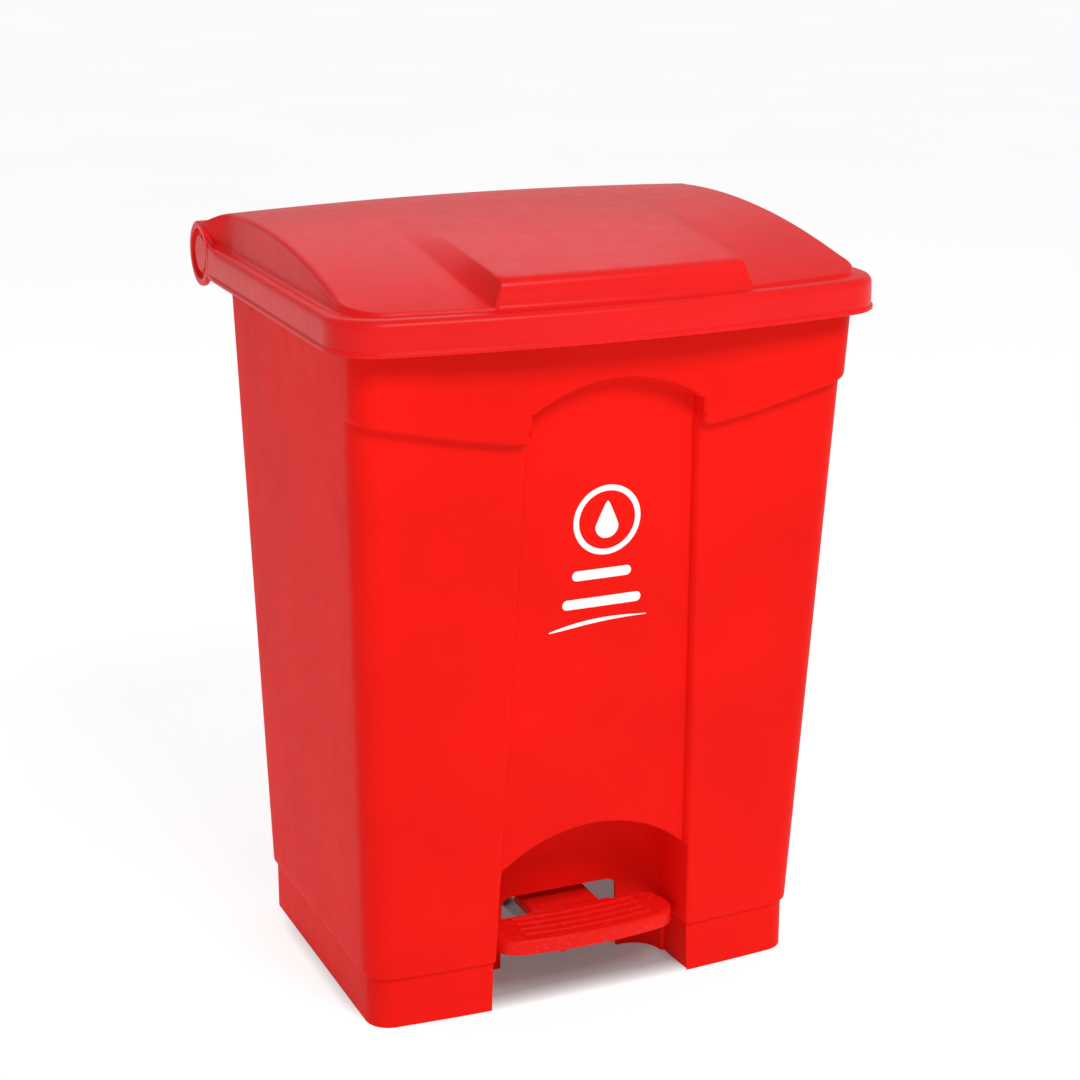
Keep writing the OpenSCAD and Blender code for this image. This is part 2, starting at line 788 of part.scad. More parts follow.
module crossbar_clips() {
    color("dimgray") on_lever() for (x = [-1, 1] * (crossbar_hw - 2.5)) {
        translate([x, lever_back, 0]) rotate([0, 90, 0]) difference() {
            cylinder(r = crossbar_d / 2 + 3, h = 1.5, center = true);
            cylinder(d = crossbar_d, h = 4, center = true);
        }
    }
}

tread_bow = 9;
tread_corner_r = 24;
tread_rear_r = 8;
tread_front_y = tread_back_y - tread_l + tread_bow;

module tread_plan(inset = 0) {
    polygon(tapered_plan(tread_w / 2 - inset, tread_front_y + inset, tread_back_y - inset, tread_bow,
        tread_corner_r - inset, tread_rear_r - inset, tread_taper));
}

ridge_hw = 2.2;
ridge_h = 1.6;
ridge_border = 13;

// Grip ridge that follows the bow of the tread's front edge
module ridge(y) {
    intersection() {
        difference() {
            translate([0, y - tread_bow + ridge_r, tread_z - 1])
                cylinder(r = ridge_r + ridge_hw, h = ridge_h + 1, $fn = 200);
            translate([0, y - tread_bow + ridge_r, tread_z - 2])
                cylinder(r = ridge_r - ridge_hw, h = ridge_h + 3, $fn = 200);
        }
        translate([-ridge_l / 2, y - 2 * tread_bow, tread_z - 2]) cube([ridge_l, 3 * tread_bow, 6]);
    }
}
ridge_r = (pow(tread_w / 2, 2) + tread_bow * tread_bow) / (2 * tread_bow);
tongue_back_y = niche_y + 26;
tongue_z = tread_z - 3;
// Ribs under the tread that the lever's bars are screwed to
rib_t = 6;
rib_drop = 22;
rib_z = tread_z - rib_drop;
rib_y = tread_back_y - tread_l + tread_bow + wall;

module pedal_tread() {
    color("red") difference() {
        union() {
            difference() {
                translate([0, 0, tread_z - tread_t]) linear_extrude(tread_t) tread_plan();
                translate([0, 0, tread_z - tread_t - 1])
                    linear_extrude(tread_t - wall + 1) tread_plan(wall);
                translate([-bar_x - bar_t, tread_back_y - 2 * wall, tread_z - tread_t - 1])
                    cube([2 * (bar_x + bar_t), 3 * wall, tread_t - wall + 1]);
            }
            for (i = [0:ridges - 1]) {
                ridge(tread_front_y + ridge_border + i * ridge_pitch);
            }
            translate([-tongue_w / 2, tread_back_y - wall, tongue_z - wall])
                cube([tongue_w, tongue_back_y - tread_back_y + wall, wall]);
            for (s = [-1, 1]) {
                mirrored(s) translate([bar_x - bar_t / 2 - rib_t, rib_y, rib_z])
                    cube([rib_t, tread_back_y - rib_y + 1, tread_z - wall - rib_z + 1]);
            }
        }
        tread_screws();
    }
}

screw_steps = [10, 32];

module tread_screws() {
    color("silver") for (s = [-1, 1]) {
        mirrored(s) on_lever() for (d = screw_steps) {
            translate([bar_x - bar_t / 2 - rib_t + 1, -lever_front + d, 0]) rotate([0, 90, 0]) {
                cylinder(d = screw_d, h = rib_t + bar_t);
                translate([0, 0, rib_t + bar_t - 1]) cylinder(d = screw_head_d, h = 2);
            }
        }
    }
}

body_shell();
hinge_bracket(-1);  // hinge_bracket_left
hinge_bracket(1);  // hinge_bracket_right
hinge_rod();
hinge_screws();
rod_guide(-1, guide_levels[1]);  // rod_guide_upper_left
rod_guide(1, guide_levels[1]);  // rod_guide_upper_right
rod_guide(-1, guide_levels[0]);  // rod_guide_lower_left
rod_guide(1, guide_levels[0]);  // rod_guide_lower_right
guide_screws();
pivot_bracket(-1);  // pivot_bracket_left
pivot_bracket(1);  // pivot_bracket_right
pivot_screws();
pivot_axle();
axle_clips();
lid_shell();
hinge_cap(-1);  // hinge_cap_left
hinge_cap(1);  // hinge_cap_right
lid_crank(-1);  // lid_crank_left
lid_crank(1);  // lid_crank_right
crank_screws();
pedal_tread();
lever_bar(-1);  // lever_bar_left
lever_bar(1);  // lever_bar_right
pivot_tube();
rear_crossbar();
tread_screws();
crossbar_clips();
lift_rod(-1);  // lift_rod_left
lift_rod(1);  // lift_rod_right
rod_clip(-1);  // rod_clip_left
rod_clip(1);  // rod_clip_right
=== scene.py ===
import json
import math

import bmesh
import bpy
import numpy as np
from mathutils.geometry import tessellate_polygon
from mathutils import Matrix, Vector


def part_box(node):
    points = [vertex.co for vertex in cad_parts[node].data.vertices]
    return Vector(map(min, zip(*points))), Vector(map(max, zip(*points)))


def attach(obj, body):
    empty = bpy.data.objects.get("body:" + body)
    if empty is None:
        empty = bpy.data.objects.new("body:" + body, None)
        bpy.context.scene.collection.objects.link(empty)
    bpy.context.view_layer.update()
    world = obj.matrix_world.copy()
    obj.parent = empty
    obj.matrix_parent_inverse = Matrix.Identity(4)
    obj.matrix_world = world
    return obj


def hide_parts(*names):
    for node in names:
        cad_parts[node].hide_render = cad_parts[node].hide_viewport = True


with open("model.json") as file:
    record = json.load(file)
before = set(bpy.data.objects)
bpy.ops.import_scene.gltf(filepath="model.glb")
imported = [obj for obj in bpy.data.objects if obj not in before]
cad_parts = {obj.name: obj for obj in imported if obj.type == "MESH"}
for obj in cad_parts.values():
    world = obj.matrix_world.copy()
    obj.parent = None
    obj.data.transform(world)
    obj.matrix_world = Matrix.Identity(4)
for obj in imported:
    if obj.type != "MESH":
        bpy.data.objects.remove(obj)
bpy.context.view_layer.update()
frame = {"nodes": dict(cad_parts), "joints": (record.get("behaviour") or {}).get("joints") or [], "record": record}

# Lengths below are in millimetres; meshes are scaled to metres as they are made.
MM = 0.001


def box_mm(*nodes):
    """Lowest and highest corners of some CAD nodes together, in millimetres."""
    boxes = [np.array(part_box(node)) / MM for node in nodes]
    return np.min([b[0] for b in boxes], axis=0), np.max([b[1] for b in boxes], axis=0)


def joint(name):
    return next(j for j in frame["joints"] if j["name"] == name)


BODY_LO, BODY_HI = box_mm("body_shell")
LID_LO, LID_HI = box_mm("lid_shell")
TREAD_LO, TREAD_HI = box_mm("pedal_tread")
HINGE_Y, HINGE_Z = (c / MM for c in joint("lid_hinge")["pos_m"][1:])

# Body
WALL = 3.0
RIM_LIP = 3.0
RIM_Z = BODY_HI[2]
RIM_HW = BODY_HI[0] - RIM_LIP
RIM_BACK = BODY_HI[1] - RIM_LIP
RIM_D = 339.5
BASE_HW = 205.5
BASE_D = 290.5
BACK_LEAN = 11.5
BOW = 9.5
CORNER_R = 25.0
PLINTH_Z = 47.5
PLINTH_INSET = 3.4
FLOOR_Z = 72.0
RIM_FRONT = RIM_BACK - RIM_D
BASE_BACK = RIM_BACK - BACK_LEAN
BASE_FRONT = BASE_BACK - BASE_D
RECESS_DEPTH = 8.7
RECESS_FLOOR_HW = 91.2
RECESS_TOP_HW = 74.0
ARCH_Z = 544.0
ARCH_RISE = 24.0
COLLAR_PROUD = 8.2
COLLAR_Z = 520.0
COLLAR_RISE = 28.0
COLLAR_BEND = 8.0
NICHE_H = 163.0
NICHE_R = 127.0
NICHE_Y = BASE_FRONT + 65.7
NICHE_CORNER = 27.0
SLOT_HW = 58.0
SLOT_H = 69.0
SLOT_R = 11.0
CHANNEL_IN = 46.0
CHANNEL_OUT = 86.0
CHANNEL_DEPTH = 20.0
NOTCH_Z = 7.0

# Lid
BEAD = 1.5
LID_HW = LID_HI[0] - BEAD
LID_BOW = 22.7
LID_FRONT = LID_LO[1] + BEAD + LID_BOW
LID_CORNER = 44.0
SKIRT_Z = RIM_Z - 17.0
LEDGE_Z = SKIRT_Z + 28.5
LEDGE_SIDE = 12.5
LEDGE_FRONT = 15.0
DOME_R = 873.0
DOME_CORNER = 36.0
DOME_CROWN = 5.2
DOME_LEAN = 5.0
DOME_H = 39.0
CREST_Y = HINGE_Y - 126.0
CREST_Z = LEDGE_Z + DOME_H
SHOULDER_Y = HINGE_Y - 38.0
PANEL_HW = 107.0
NOSE_H = 21.5
ROLL_R = 29.0
ROLL_TOP = HINGE_Z + ROLL_R
LIP_ANGLE = 50.0


def mix(a, b, t):
    return a + (b - a) * t


def smooth(t):
    t = np.clip(t, 0, 1)
    return t * t * (3 - 2 * t)


def up(z):
    return (z - PLINTH_Z) / (RIM_Z - PLINTH_Z)


def half_w(z):
    return mix(BASE_HW, RIM_HW, up(z))


def front_y(z):
    return mix(BASE_FRONT, RIM_FRONT, up(z))


def back_y(z):
    return mix(BASE_BACK, RIM_BACK, up(z))


def recess_hw(z):
    return mix(RECESS_FLOOR_HW, RECESS_TOP_HW, z / ARCH_Z)


def bow_arc(hw, yf, bow, rf):
    """Centre, radius, corner angle and corner-centre Y of a bowed front with rounded corners."""
    big = (hw * hw + bow * bow) / (2 * bow)
    cy = yf - bow + big
    a = math.asin((hw - rf) / (big - rf))
    return cy, big, a, cy - (big - rf) * math.cos(a)


def make_mesh(name, points, faces, body, material, smooth_shade=True):
    mesh = bpy.data.meshes.new(name)
    mesh.from_pydata([tuple(float(c) * MM for c in p) for p in points], [], faces)
    obj = bpy.data.objects.new(name, mesh)
    bpy.context.scene.collection.objects.link(obj)
    mesh.materials.append(material)
    clean(obj)
    if smooth_shade:
        mesh.shade_smooth()
    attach(obj, body)
    return obj


def clean(obj, dist=0.00002):
    bm = bmesh.new()
    bm.from_mesh(obj.data)
    bmesh.ops.remove_doubles(bm, verts=bm.verts, dist=dist)
    bmesh.ops.recalc_face_normals(bm, faces=bm.faces)
    bm.to_mesh(obj.data)
    bm.free()


def grid_faces(rows, cols, keep=None, offset=0, wrap=False):
    faces = []
    for r in range(rows - 1):
        for c in range(cols if wrap else cols - 1):
            d = (c + 1) % cols
            if keep is None or keep(r, c):
                a = offset + r * cols
                faces.append((a + c, a + d, a + d + cols, a + c + cols))
    return faces


def apply_modifiers(obj):
    graph = bpy.context.evaluated_depsgraph_get()
    mesh = bpy.data.meshes.new_from_object(obj.evaluated_get(graph))
    obj.modifiers.clear()
    old = obj.data
    obj.data = mesh
    bpy.data.meshes.remove(old)


def smooth_by_angle(obj, degrees=40):
    obj.data.shade_smooth()
    obj.data.set_sharp_from_angle(angle=math.radians(degrees))


def thicken(obj, wall):
    """Gives a skin its wall, inwards."""
    mod = obj.modifiers.new("wall", "SOLIDIFY")
    mod.thickness = wall * MM
    mod.offset = -1
    mod.use_even_offset = False
    apply_modifiers(obj)


# ---- materials ----


def new_material(name):
    mat = bpy.data.materials.new(name)
    mat.use_nodes = True
    nodes = mat.node_tree.nodes
    return mat, nodes, mat.node_tree.links, nodes["Principled BSDF"]


def noise(nodes, links, coord, scale, detail=3.0, rough=0.5):
    tex = nodes.new("ShaderNodeTexNoise")
    tex.inputs["Scale"].default_value = scale
    tex.inputs["Detail"].default_value = detail
    tex.inputs["Roughness"].default_value = rough
    links.new(coord.outputs["Object"], tex.inputs["Vector"])
    return tex


def ramp(nodes, links, source, stops):
    node = nodes.new("ShaderNodeValToRGB")
    links.new(source, node.inputs["Fac"])
    node.color_ramp.elements[0].position = stops[0][0]
    node.color_ramp.elements[0].color = stops[0][1]
    node.color_ramp.elements[1].position = stops[-1][0]
    node.color_ramp.elements[1].color = stops[-1][1]
    for position, color in stops[1:-1]:
        node.color_ramp.elements.new(position).color = color
    return node


def bump(nodes, links, height, strength, distance, normal=None):
    node = nodes.new("ShaderNodeBump")
    node.inputs["Strength"].default_value = strength
    node.inputs["Distance"].default_value = distance
    links.new(height, node.inputs["Height"])
    if normal is not None:
        links.new(normal, node.inputs["Normal"])
    return node


def grey(v):
    return (v, v, v, 1)


def plastic(name, color, rough, grain=0.25, tint=0.06, scuff=0.0, sheen=0.03):
    """Moulded polypropylene: faint colour drift, fine spark-eroded grain, slow waviness of the moulding."""
    mat, nodes, links, shader = new_material(name)
    coord = nodes.new("ShaderNodeTexCoord")
    drift = noise(nodes, links, coord, 7.0, 4.0, 0.55)
    dark = tuple(c * (1 - tint) for c in color) + (1,)
    light = tuple(min(1, c * (1 + tint)) for c in color) + (1,)
    tone = ramp(nodes, links, drift.outputs["Fac"], [(0.3, dark), (0.7, light)])
    color_out = tone.outputs["Color"]
    gloss = noise(nodes, links, coord, 60.0, 5.0, 0.6)
    gloss_ramp = ramp(nodes, links, gloss.outputs["Fac"],
                      [(0.25, grey(rough - 0.05)), (0.75, grey(rough + 0.05))])
    rough_out = gloss_ramp.outputs["Color"]
    if scuff > 0:
        marks = noise(nodes, links, coord, 220.0, 8.0, 0.75)
        mark_ramp = ramp(nodes, links, marks.outputs["Fac"], [(0.56, grey(0.0)), (0.72, grey(scuff))])
        blend = nodes.new("ShaderNodeMix")
        blend.data_type = "RGBA"
        links.new(mark_ramp.outputs["Color"], blend.inputs["Factor"])
        links.new(color_out, blend.inputs["A"])
        blend.inputs["B"].default_value = tuple(mix(c, 0.55, 0.35) for c in color) + (1,)
        color_out = blend.outputs["Result"]
    links.new(color_out, shader.inputs["Base Color"])
    links.new(rough_out, shader.inputs["Roughness"])
    fine = noise(nodes, links, coord, 1700.0, 2.0, 0.5)
    wave = noise(nodes, links, coord, 14.0, 2.0, 0.4)
    first = bump(nodes, links, wave.outputs["Fac"], 0.25, 0.0012)
    second = bump(nodes, links, fine.outputs["Fac"], grain, 0.00006, first.outputs["Normal"])
    links.new(second.outputs["Normal"], shader.inputs["Normal"])
    shader.inputs["Specular IOR Level"].default_value = sheen
    shader.inputs["IOR"].default_value = 1.49
    return mat


def zinc(name, color, rough):
    """Bright zinc plate: faint spangle and dulled patches."""
    mat, nodes, links, shader = new_material(name)
    coord = nodes.new("ShaderNodeTexCoord")
    cloud = noise(nodes, links, coord, 45.0, 5.0, 0.6)
    tone = ramp(nodes, links, cloud.outputs["Fac"],
                [(0.3, tuple(c * 0.8 for c in color) + (1,)), (0.7, tuple(color) + (1,))])
    links.new(tone.outputs["Color"], shader.inputs["Base Color"])
    fine = noise(nodes, links, coord, 900.0, 3.0, 0.6)
    dull = ramp(nodes, links, fine.outputs["Fac"], [(0.3, grey(rough - 0.07)), (0.7, grey(rough + 0.1))])
    links.new(dull.outputs["Color"], shader.inputs["Roughness"])
    relief = bump(nodes, links, fine.outputs["Fac"], 0.15, 0.00004)
    links.new(relief.outputs["Normal"], shader.inputs["Normal"])
    shader.inputs["Metallic"].default_value = 1.0
    return mat


def ink(name):
    """White pad-printed ink with slightly thin, speckled cover."""
    mat, nodes, links, shader = new_material(name)
    coord = nodes.new("ShaderNodeTexCoord")
    cover = noise(nodes, links, coord, 500.0, 5.0, 0.7)
    tone = ramp(nodes, links, cover.outputs["Fac"],
                [(0.25, (0.86, 0.78, 0.77, 1)), (0.5, (0.93, 0.92, 0.91, 1))])
    links.new(tone.outputs["Color"], shader.inputs["Base Color"])
    relief = bump(nodes, links, cover.outputs["Fac"], 0.2, 0.00003)
    links.new(relief.outputs["Normal"], shader.inputs["Normal"])
    shader.inputs["Roughness"].default_value = 0.42
    return mat


BODY_RED = plastic("body_red", (0.85, 0.010, 0.006), 0.44)
LID_RED = plastic("lid_red", (0.80, 0.012, 0.012), 0.34, grain=0.15, sheen=0.12)
PEDAL_RED = plastic("pedal_red", (0.82, 0.010, 0.006), 0.40, scuff=0.35, sheen=0.1)
NYLON = plastic("black_nylon_grain", (0.022, 0.022, 0.024), 0.5, tint=0.2)
STEEL = zinc("zinc_plate", (0.72, 0.72, 0.70), 0.3)
SPRING = zinc("phosphated_spring", (0.20, 0.20, 0.21), 0.42)
PRINT = ink("white_ink")

SLOT_MATERIAL = {"moulded_red": BODY_RED, "lid_red": LID_RED, "pedal_red": PEDAL_RED,
                 "zinc_steel": STEEL, "spring_steel": SPRING, "black_nylon": NYLON}


def dress_cad_nodes():
    """Gives every CAD node the material of its slot."""
    for part in frame["record"]["subparts"]:
        mesh = frame["nodes"][part["node"]].data
        mesh.materials.clear()
        mesh.materials.append(SLOT_MATERIAL[part["material_slot"]])


# ---- body ----

# Steps between two faces, from the inner face to the outer one: shift across the step, share of its depth
EDGE = [(-2.6, 1.0), (-1.3, 0.975), (-0.6, 0.92), (-0.2, 0.83), (-0.05, 0.68), (0.0, 0.5),
        (0.05, 0.32), (0.2, 0.17), (0.6, 0.08), (1.3, 0.025), (2.6, 0.0)]
LIP_FILLET = 3.0
RECESS_DRAFT = 2.2


def body_columns():
    """Right half of the body's upright lines, from the middle of the front round to the middle of the back.

    Each is a dictionary: zone, t, and the shares of the recess and of the pocket that the line takes."""
    cols = []
    inner = [0, 9, 18, 27, 36, 43, 47]
    inner += [47 + SLOT_R * math.sin(math.radians(a)) for a in (15, 30, 45, 60, 75, 90)]
    for x in inner:
        cols.append(dict(zone="panel", t=x / (RECESS_FLOOR_HW - NICHE_CORNER), recess=1, pocket=1))
    for deg in (90, 80, 70, 60, 50, 40, 30, 22, 15, 9, 4):
        cols.append(dict(zone="bend", deg=deg, recess=1, pocket=1))
    for i in range(0, 13):
        cols.append(dict(zone="wall", t=i / 12, recess=mix(0.88, 0.18, i / 12)))
    for deg in (15, 30, 50, 70, 90):
        cols.append(dict(zone="edge", deg=deg))
    for t in (0.02, 0.045, 0.075, 0.11, 0.15, 0.2, 0.27, 0.35, 0.44, 0.53, 0.62, 0.71, 0.8, 0.9, 1.0):
        cols.append(dict(zone="face", t=t))
    for i in range(1, 15):
        cols.append(dict(zone="corner", t=i / 14))
    for i in range(1, 17):
        cols.append(dict(zone="side", t=i / 16))
    for i in range(1, 11):
        cols.append(dict(zone="rear_corner", t=i / 10))
    for i in range(1, 7):
        cols.append(dict(zone="rear", t=i / 7))
    for shift, share in reversed(EDGE):
        cols.append(dict(zone="channel", x=CHANNEL_OUT + shift, share=share))
    for i in range(1, 5):
        cols.append(dict(zone="channel", x=mix(CHANNEL_OUT, CHANNEL_IN, i / 5), share=1))
    for shift, share in EDGE:
        cols.append(dict(zone="channel", x=CHANNEL_IN - shift, share=share))
    for i in range(1, 6):
        cols.append(dict(zone="channel", x=CHANNEL_IN * (1 - i / 5) * 0.94, share=0))
    return cols


def column_x(col, z):
    """X of a column on the right half at a height, with the plinth's step left out."""
    zone = col["zone"]
    hw = recess_hw(z)
    if zone == "panel":
        return col["t"] * (hw - NICHE_CORNER)
    if zone == "bend":
        return hw - NICHE_CORNER * (1 - math.cos(math.radians(col["deg"])))
    if zone == "wall":
        return hw + RECESS_DRAFT * col["t"] ** 2
    if zone == "edge":
        return hw + RECESS_DRAFT + LIP_FILLET * (1 - math.cos(math.radians(col["deg"])))
    _, big, a, _ = bow_arc(half_w(z), front_y(z), BOW, CORNER_R)
    if zone == "face":
        return mix(hw + RECESS_DRAFT + LIP_FILLET, big * math.sin(a), col["t"])
    if zone == "corner":
        return half_w(z) - CORNER_R + CORNER_R * math.cos(mix(-math.pi / 2 + a, 0, col["t"]))
    return half_w(z)


def arch_level(x, hw, top, r):
    return top - r + math.sqrt(max(0, r * r - min(abs(x), hw) ** 2))


def slot_level(x):
    bend = max(0, min(abs(x), SLOT_HW) - (SLOT_HW - SLOT_R))
    return SLOT_H - SLOT_R + math.sqrt(max(0, SLOT_R ** 2 - bend ** 2))


def collar_level(x, z):
    inner = recess_hw(z)
    out = half_w(COLLAR_Z)
    reach = min(max(0, x - inner - RECESS_DRAFT), out - inner)
    if reach < COLLAR_BEND:
        return COLLAR_Z + COLLAR_BEND - math.sqrt(COLLAR_BEND ** 2 - (COLLAR_BEND - reach) ** 2)
    return COLLAR_Z + COLLAR_RISE * ((reach - COLLAR_BEND) / (out - inner - COLLAR_BEND)) ** 1.25


ARCH_R = (RECESS_TOP_HW ** 2 + ARCH_RISE ** 2) / (2 * ARCH_RISE)
BACK_ZONES = ("channel", "rear", "rear_corner")


def levels(col):
    """Heights of the body's level lines at one column."""
    zone = col["zone"]
    slot = slot_level(column_x(col, 40)) if zone in ("panel", "bend") else SLOT_H - SLOT_R
    if zone == "side":
        slot = mix(slot, FLOOR_Z, col["t"])
    if zone in BACK_ZONES:
        slot = FLOOR_Z
    niche = arch_level(column_x(col, 140), recess_hw(NICHE_H - 30), NICHE_H, NICHE_R)
    arch = arch_level(column_x(col, ARCH_Z), RECESS_TOP_HW, ARCH_Z + ARCH_RISE, ARCH_R)
    collar = collar_level(column_x(col, COLLAR_Z), COLLAR_Z)
    if zone in ("face", "corner", "side", "edge") + BACK_ZONES:
        reach = (column_x(col, ARCH_Z) - RECESS_TOP_HW) / (RIM_HW - RECESS_TOP_HW)
        arch = ARCH_Z + 34 * max(0, reach)
    return dict(floor=0, notch=NOTCH_Z, plinth=PLINTH_Z, slot=slot, niche=niche, collar=collar, arch=arch,
                lip=RIM_Z - 6, rim=RIM_Z)


def body_rows():
    """Level lines of the body from the floor up: the two levels, place between them, shift and shares."""
    rows = []

    def add(lower, upper, t, shift=0.0, **share):
        rows.append(dict(lower=lower, upper=upper, t=t, shift=shift, share=share))

    below = dict(plinth=1, niche=1, arch=1)
    for t in (0, 0.5):
        add("floor", "notch", t, **below)
    for t in (0, 0.2, 0.4, 0.6, 0.8, 0.95):
        add("notch", "plinth", t, **below)
    for shift, share in ((-0.9, 1), (-0.5, 0.96), (-0.3, 0.75), (-0.15, 0.45), (0.1, 0.2), (0.6, 0.06),
                         (1.6, 0)):
        add("plinth", "plinth", 0, shift, plinth=share, niche=1, arch=1)
    for t in (0.35, 0.7, 1):
        add("plinth", "slot", t, niche=1, arch=1)
    for i in range(1, 14):
        add("slot", "niche", i / 15.5, niche=1, arch=1)
    for shift, share in ((-5, 1), (-3.6, 0.985), (-2.9, 0.95), (-2.5, 0.85), (-2.1, 0.68), (-1.7, 0.5),
                         (-1.3, 0.34), (-1.0, 0.2), (-0.7, 0.1), (-0.35, 0.045), (0.1, 0.018),
                         (0.8, 0.005), (2, 0)):
        add("niche", "niche", 0, shift, niche=share, arch=1)
    for i in range(1, 48):
        add("niche", "collar", i / 48, arch=1)
    for shift, share in EDGE:
        add("collar", "collar", 0, shift * 1.15, collar=1 - share, arch=1)
    for i in range(1, 7):
        add("collar", "arch", i / 7, collar=1, arch=1)
    for shift, share in EDGE:
        add("arch", "arch", 0, shift, collar=1, arch=share)
    for i in range(1, 12):
        add("arch", "lip", i / 12, collar=1)
    for shift, share in ((0, 0), (0.05, 0.5), (0.2, 0.9), (0.8, 1), (2.5, 1), (5.2, 1), (5.8, 0.85),
                         (6, 0.6)):
        add("lip", "lip", 0, shift, collar=1, lip=share)
    return rows


def body_point(col, row, level):
    """Point of the body's outer skin at one column and one level line."""
    z = mix(level[row["lower"]], level[row["upper"]], row["t"]) + row["shift"]
    share = row["share"]
    inset = PLINTH_INSET * share.get("plinth", 0) - RIM_LIP * share.get("lip", 0)
    zs = max(z, PLINTH_Z)
    hw = half_w(zs) - inset
    yf = front_y(zs) + inset
    yb = back_y(zs) - inset
    r = CORNER_R - inset
    cy, big, a, fy = bow_arc(hw, yf, BOW, r)
    proud = COLLAR_PROUD * share.get("collar", 0)
    zone = col["zone"]
    if zone in ("panel", "bend", "wall", "edge", "face"):
        rhw = recess_hw(z)
        x_end = big * math.sin(a)
        if zone == "face":
            x = mix(rhw + RECESS_DRAFT + LIP_FILLET, x_end, col["t"])
        else:
            x = column_x(col, z)
        if zone in ("wall", "edge"):
            x += PLINTH_INSET * share.get("plinth", 0)
        face = cy - math.sqrt(big * big - x * x) - proud
        pcy, pbig, _, _ = bow_arc(half_w(zs), front_y(zs), BOW, CORNER_R)
        panel = pcy - math.sqrt(pbig * pbig - x * x) + RECESS_DEPTH
        niche = share.get("niche", 0)
        arch = share.get("arch", 0)
        fillet = 0.0
        if zone == "edge":
            fillet = LIP_FILLET * (1 - math.sin(math.radians(col["deg"])))
        if zone in ("panel", "bend"):
            across = 1.0
            dx = x - rhw
            if dx > -2.6:
                across = np.interp(dx, [-2.6, -1.3, -0.6, -0.2, 0], [1, 0.975, 0.93, 0.9, 0.88])
            y = mix(face, panel, across * arch)
            deep = NICHE_Y
            if zone == "bend":
                deep = NICHE_Y - NICHE_CORNER * (1 - math.sin(math.radians(col["deg"])))
            y = mix(y, deep, niche)
        elif zone == "wall":
            shallow = mix(face, panel, col["recess"] * arch)
            deep = mix(NICHE_Y - NICHE_CORNER, face + LIP_FILLET, col["t"])
            y = mix(shallow, deep, niche)
        elif zone == "edge":
            y = face + fillet * max(niche, 0.75 * arch)
        else:
            y = face
        return x, y, z
    if zone == "corner":
        ang = mix(-math.pi / 2 + a, 0, col["t"])
        return hw - r + r * math.cos(ang), fy + r * math.sin(ang) - proud, z
    if zone == "side":
        return hw, mix(fy - proud, yb - r, col["t"]), z
    if zone == "rear_corner":
        ang = mix(0, math.pi / 2, col["t"])
        return hw - r + r * math.cos(ang), yb - r + r * math.sin(ang), z
    if zone == "rear":
        return mix(hw - r, CHANNEL_OUT + EDGE[-1][0], col["t"]), yb, z
    depth = CHANNEL_DEPTH * col["share"] if z > FLOOR_Z - 0.5 else 0.0
    if depth > 0:
        yb = mix(yb, back_y(zs), col["share"])
    return col["x"], yb - depth, z


def body_cell_kept(col_a, col_b, row_a, row_b):
    """False inside the pedal's slot and the notch behind."""
    zones = (col_a["zone"], col_b["zone"])
    x = max(column_x(col_a, 40), column_x(col_b, 40))
    under_slot = row_b["upper"] in ("notch", "plinth") or (row_b["upper"] == "slot")
    if zones[0] in ("panel", "bend") and zones[1] in ("panel", "bend") and x < SLOT_HW + 0.01 and under_slot:
        return False
    if zones == ("channel", "channel") and max(col_a["x"], col_b["x"]) <= CHANNEL_OUT + EDGE[5][0] + 0.01:
        above_notch = row_a["lower"] != "floor"
        return not (above_notch and under_slot)
    return True


def body_skin():
    half = body_columns()
    rows = body_rows()
    level = [levels(c) for c in half]
    right = [[body_point(c, r, lv) for c, lv in zip(half, level)] for r in rows]
    n = len(half)
    # The ring runs from the middle of the front round the right to the back, then up the left side again
    order = [(i, 1) for i in range(n)] + [(i, -1) for i in range(n - 2, 0, -1)]
    points = [(s * right[r][i][0], right[r][i][1], right[r][i][2])
              for r in range(len(rows)) for i, s in order]

    def keep(r, c):
        i, s = order[c]
        j, _ = order[(c + 1) % len(order)]
        a, b = (i, j) if i < j else (j, i)
        return body_cell_kept(half[a], half[b], rows[r], rows[r + 1])

    faces = grid_faces(len(rows), len(order), keep, wrap=True)
    return points, faces, right, order


def floor_plate(right, order):
    """Bin floor, cut to the skin's own outline at that height."""
    points = []
    faces = []
    probe = FLOOR_Z + WALL / 2
    ring = []
    for i, s in order:
        line = [right[r][i] for r in range(len(right))]
        zs = [p[2] for p in line]
        k = next(k for k in range(len(zs) - 1) if zs[k + 1] >= probe)
        t = (probe - zs[k]) / max(1e-6, zs[k + 1] - zs[k])
        ring.append((s * mix(line[k][0], line[k + 1][0], t), mix(line[k][1], line[k + 1][1], t)))
    ring = np.array(ring)
    step = np.roll(ring, -1, axis=0) - np.roll(ring, 1, axis=0)
    length = np.maximum(np.linalg.norm(step, axis=1), 1e-6)
    inward = np.stack([-step[:, 1], step[:, 0]], axis=1) / length[:, None]
    ring = ring + inward * WALL * 0.5
    m = len(ring)
    for z in (FLOOR_Z, FLOOR_Z + WALL):
        points += [(p[0], p[1], z) for p in ring]
    tris = tessellate_polygon([[Vector((p[0], p[1], 0)) for p in ring]])
    for a, b, c in tris:
        faces.append((a, b, c))
        faces.append((m + c, m + b, m + a))
    faces += [(i, (i + 1) % m, m + (i + 1) % m, m + i) for i in range(m)]
    return points, faces


def build_body():
    points, faces, right, order = body_skin()
    shell = make_mesh("body_moulding", points, faces, "bin", BODY_RED)
    thicken(shell, WALL)
    smooth_by_angle(shell, 50)
    plate_points, plate_faces = floor_plate(right, order)
    plate = make_mesh("body_floor", plate_points, plate_faces, "bin", BODY_RED,
                      smooth_shade=False)
    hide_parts("body_shell")
    return shell, plate


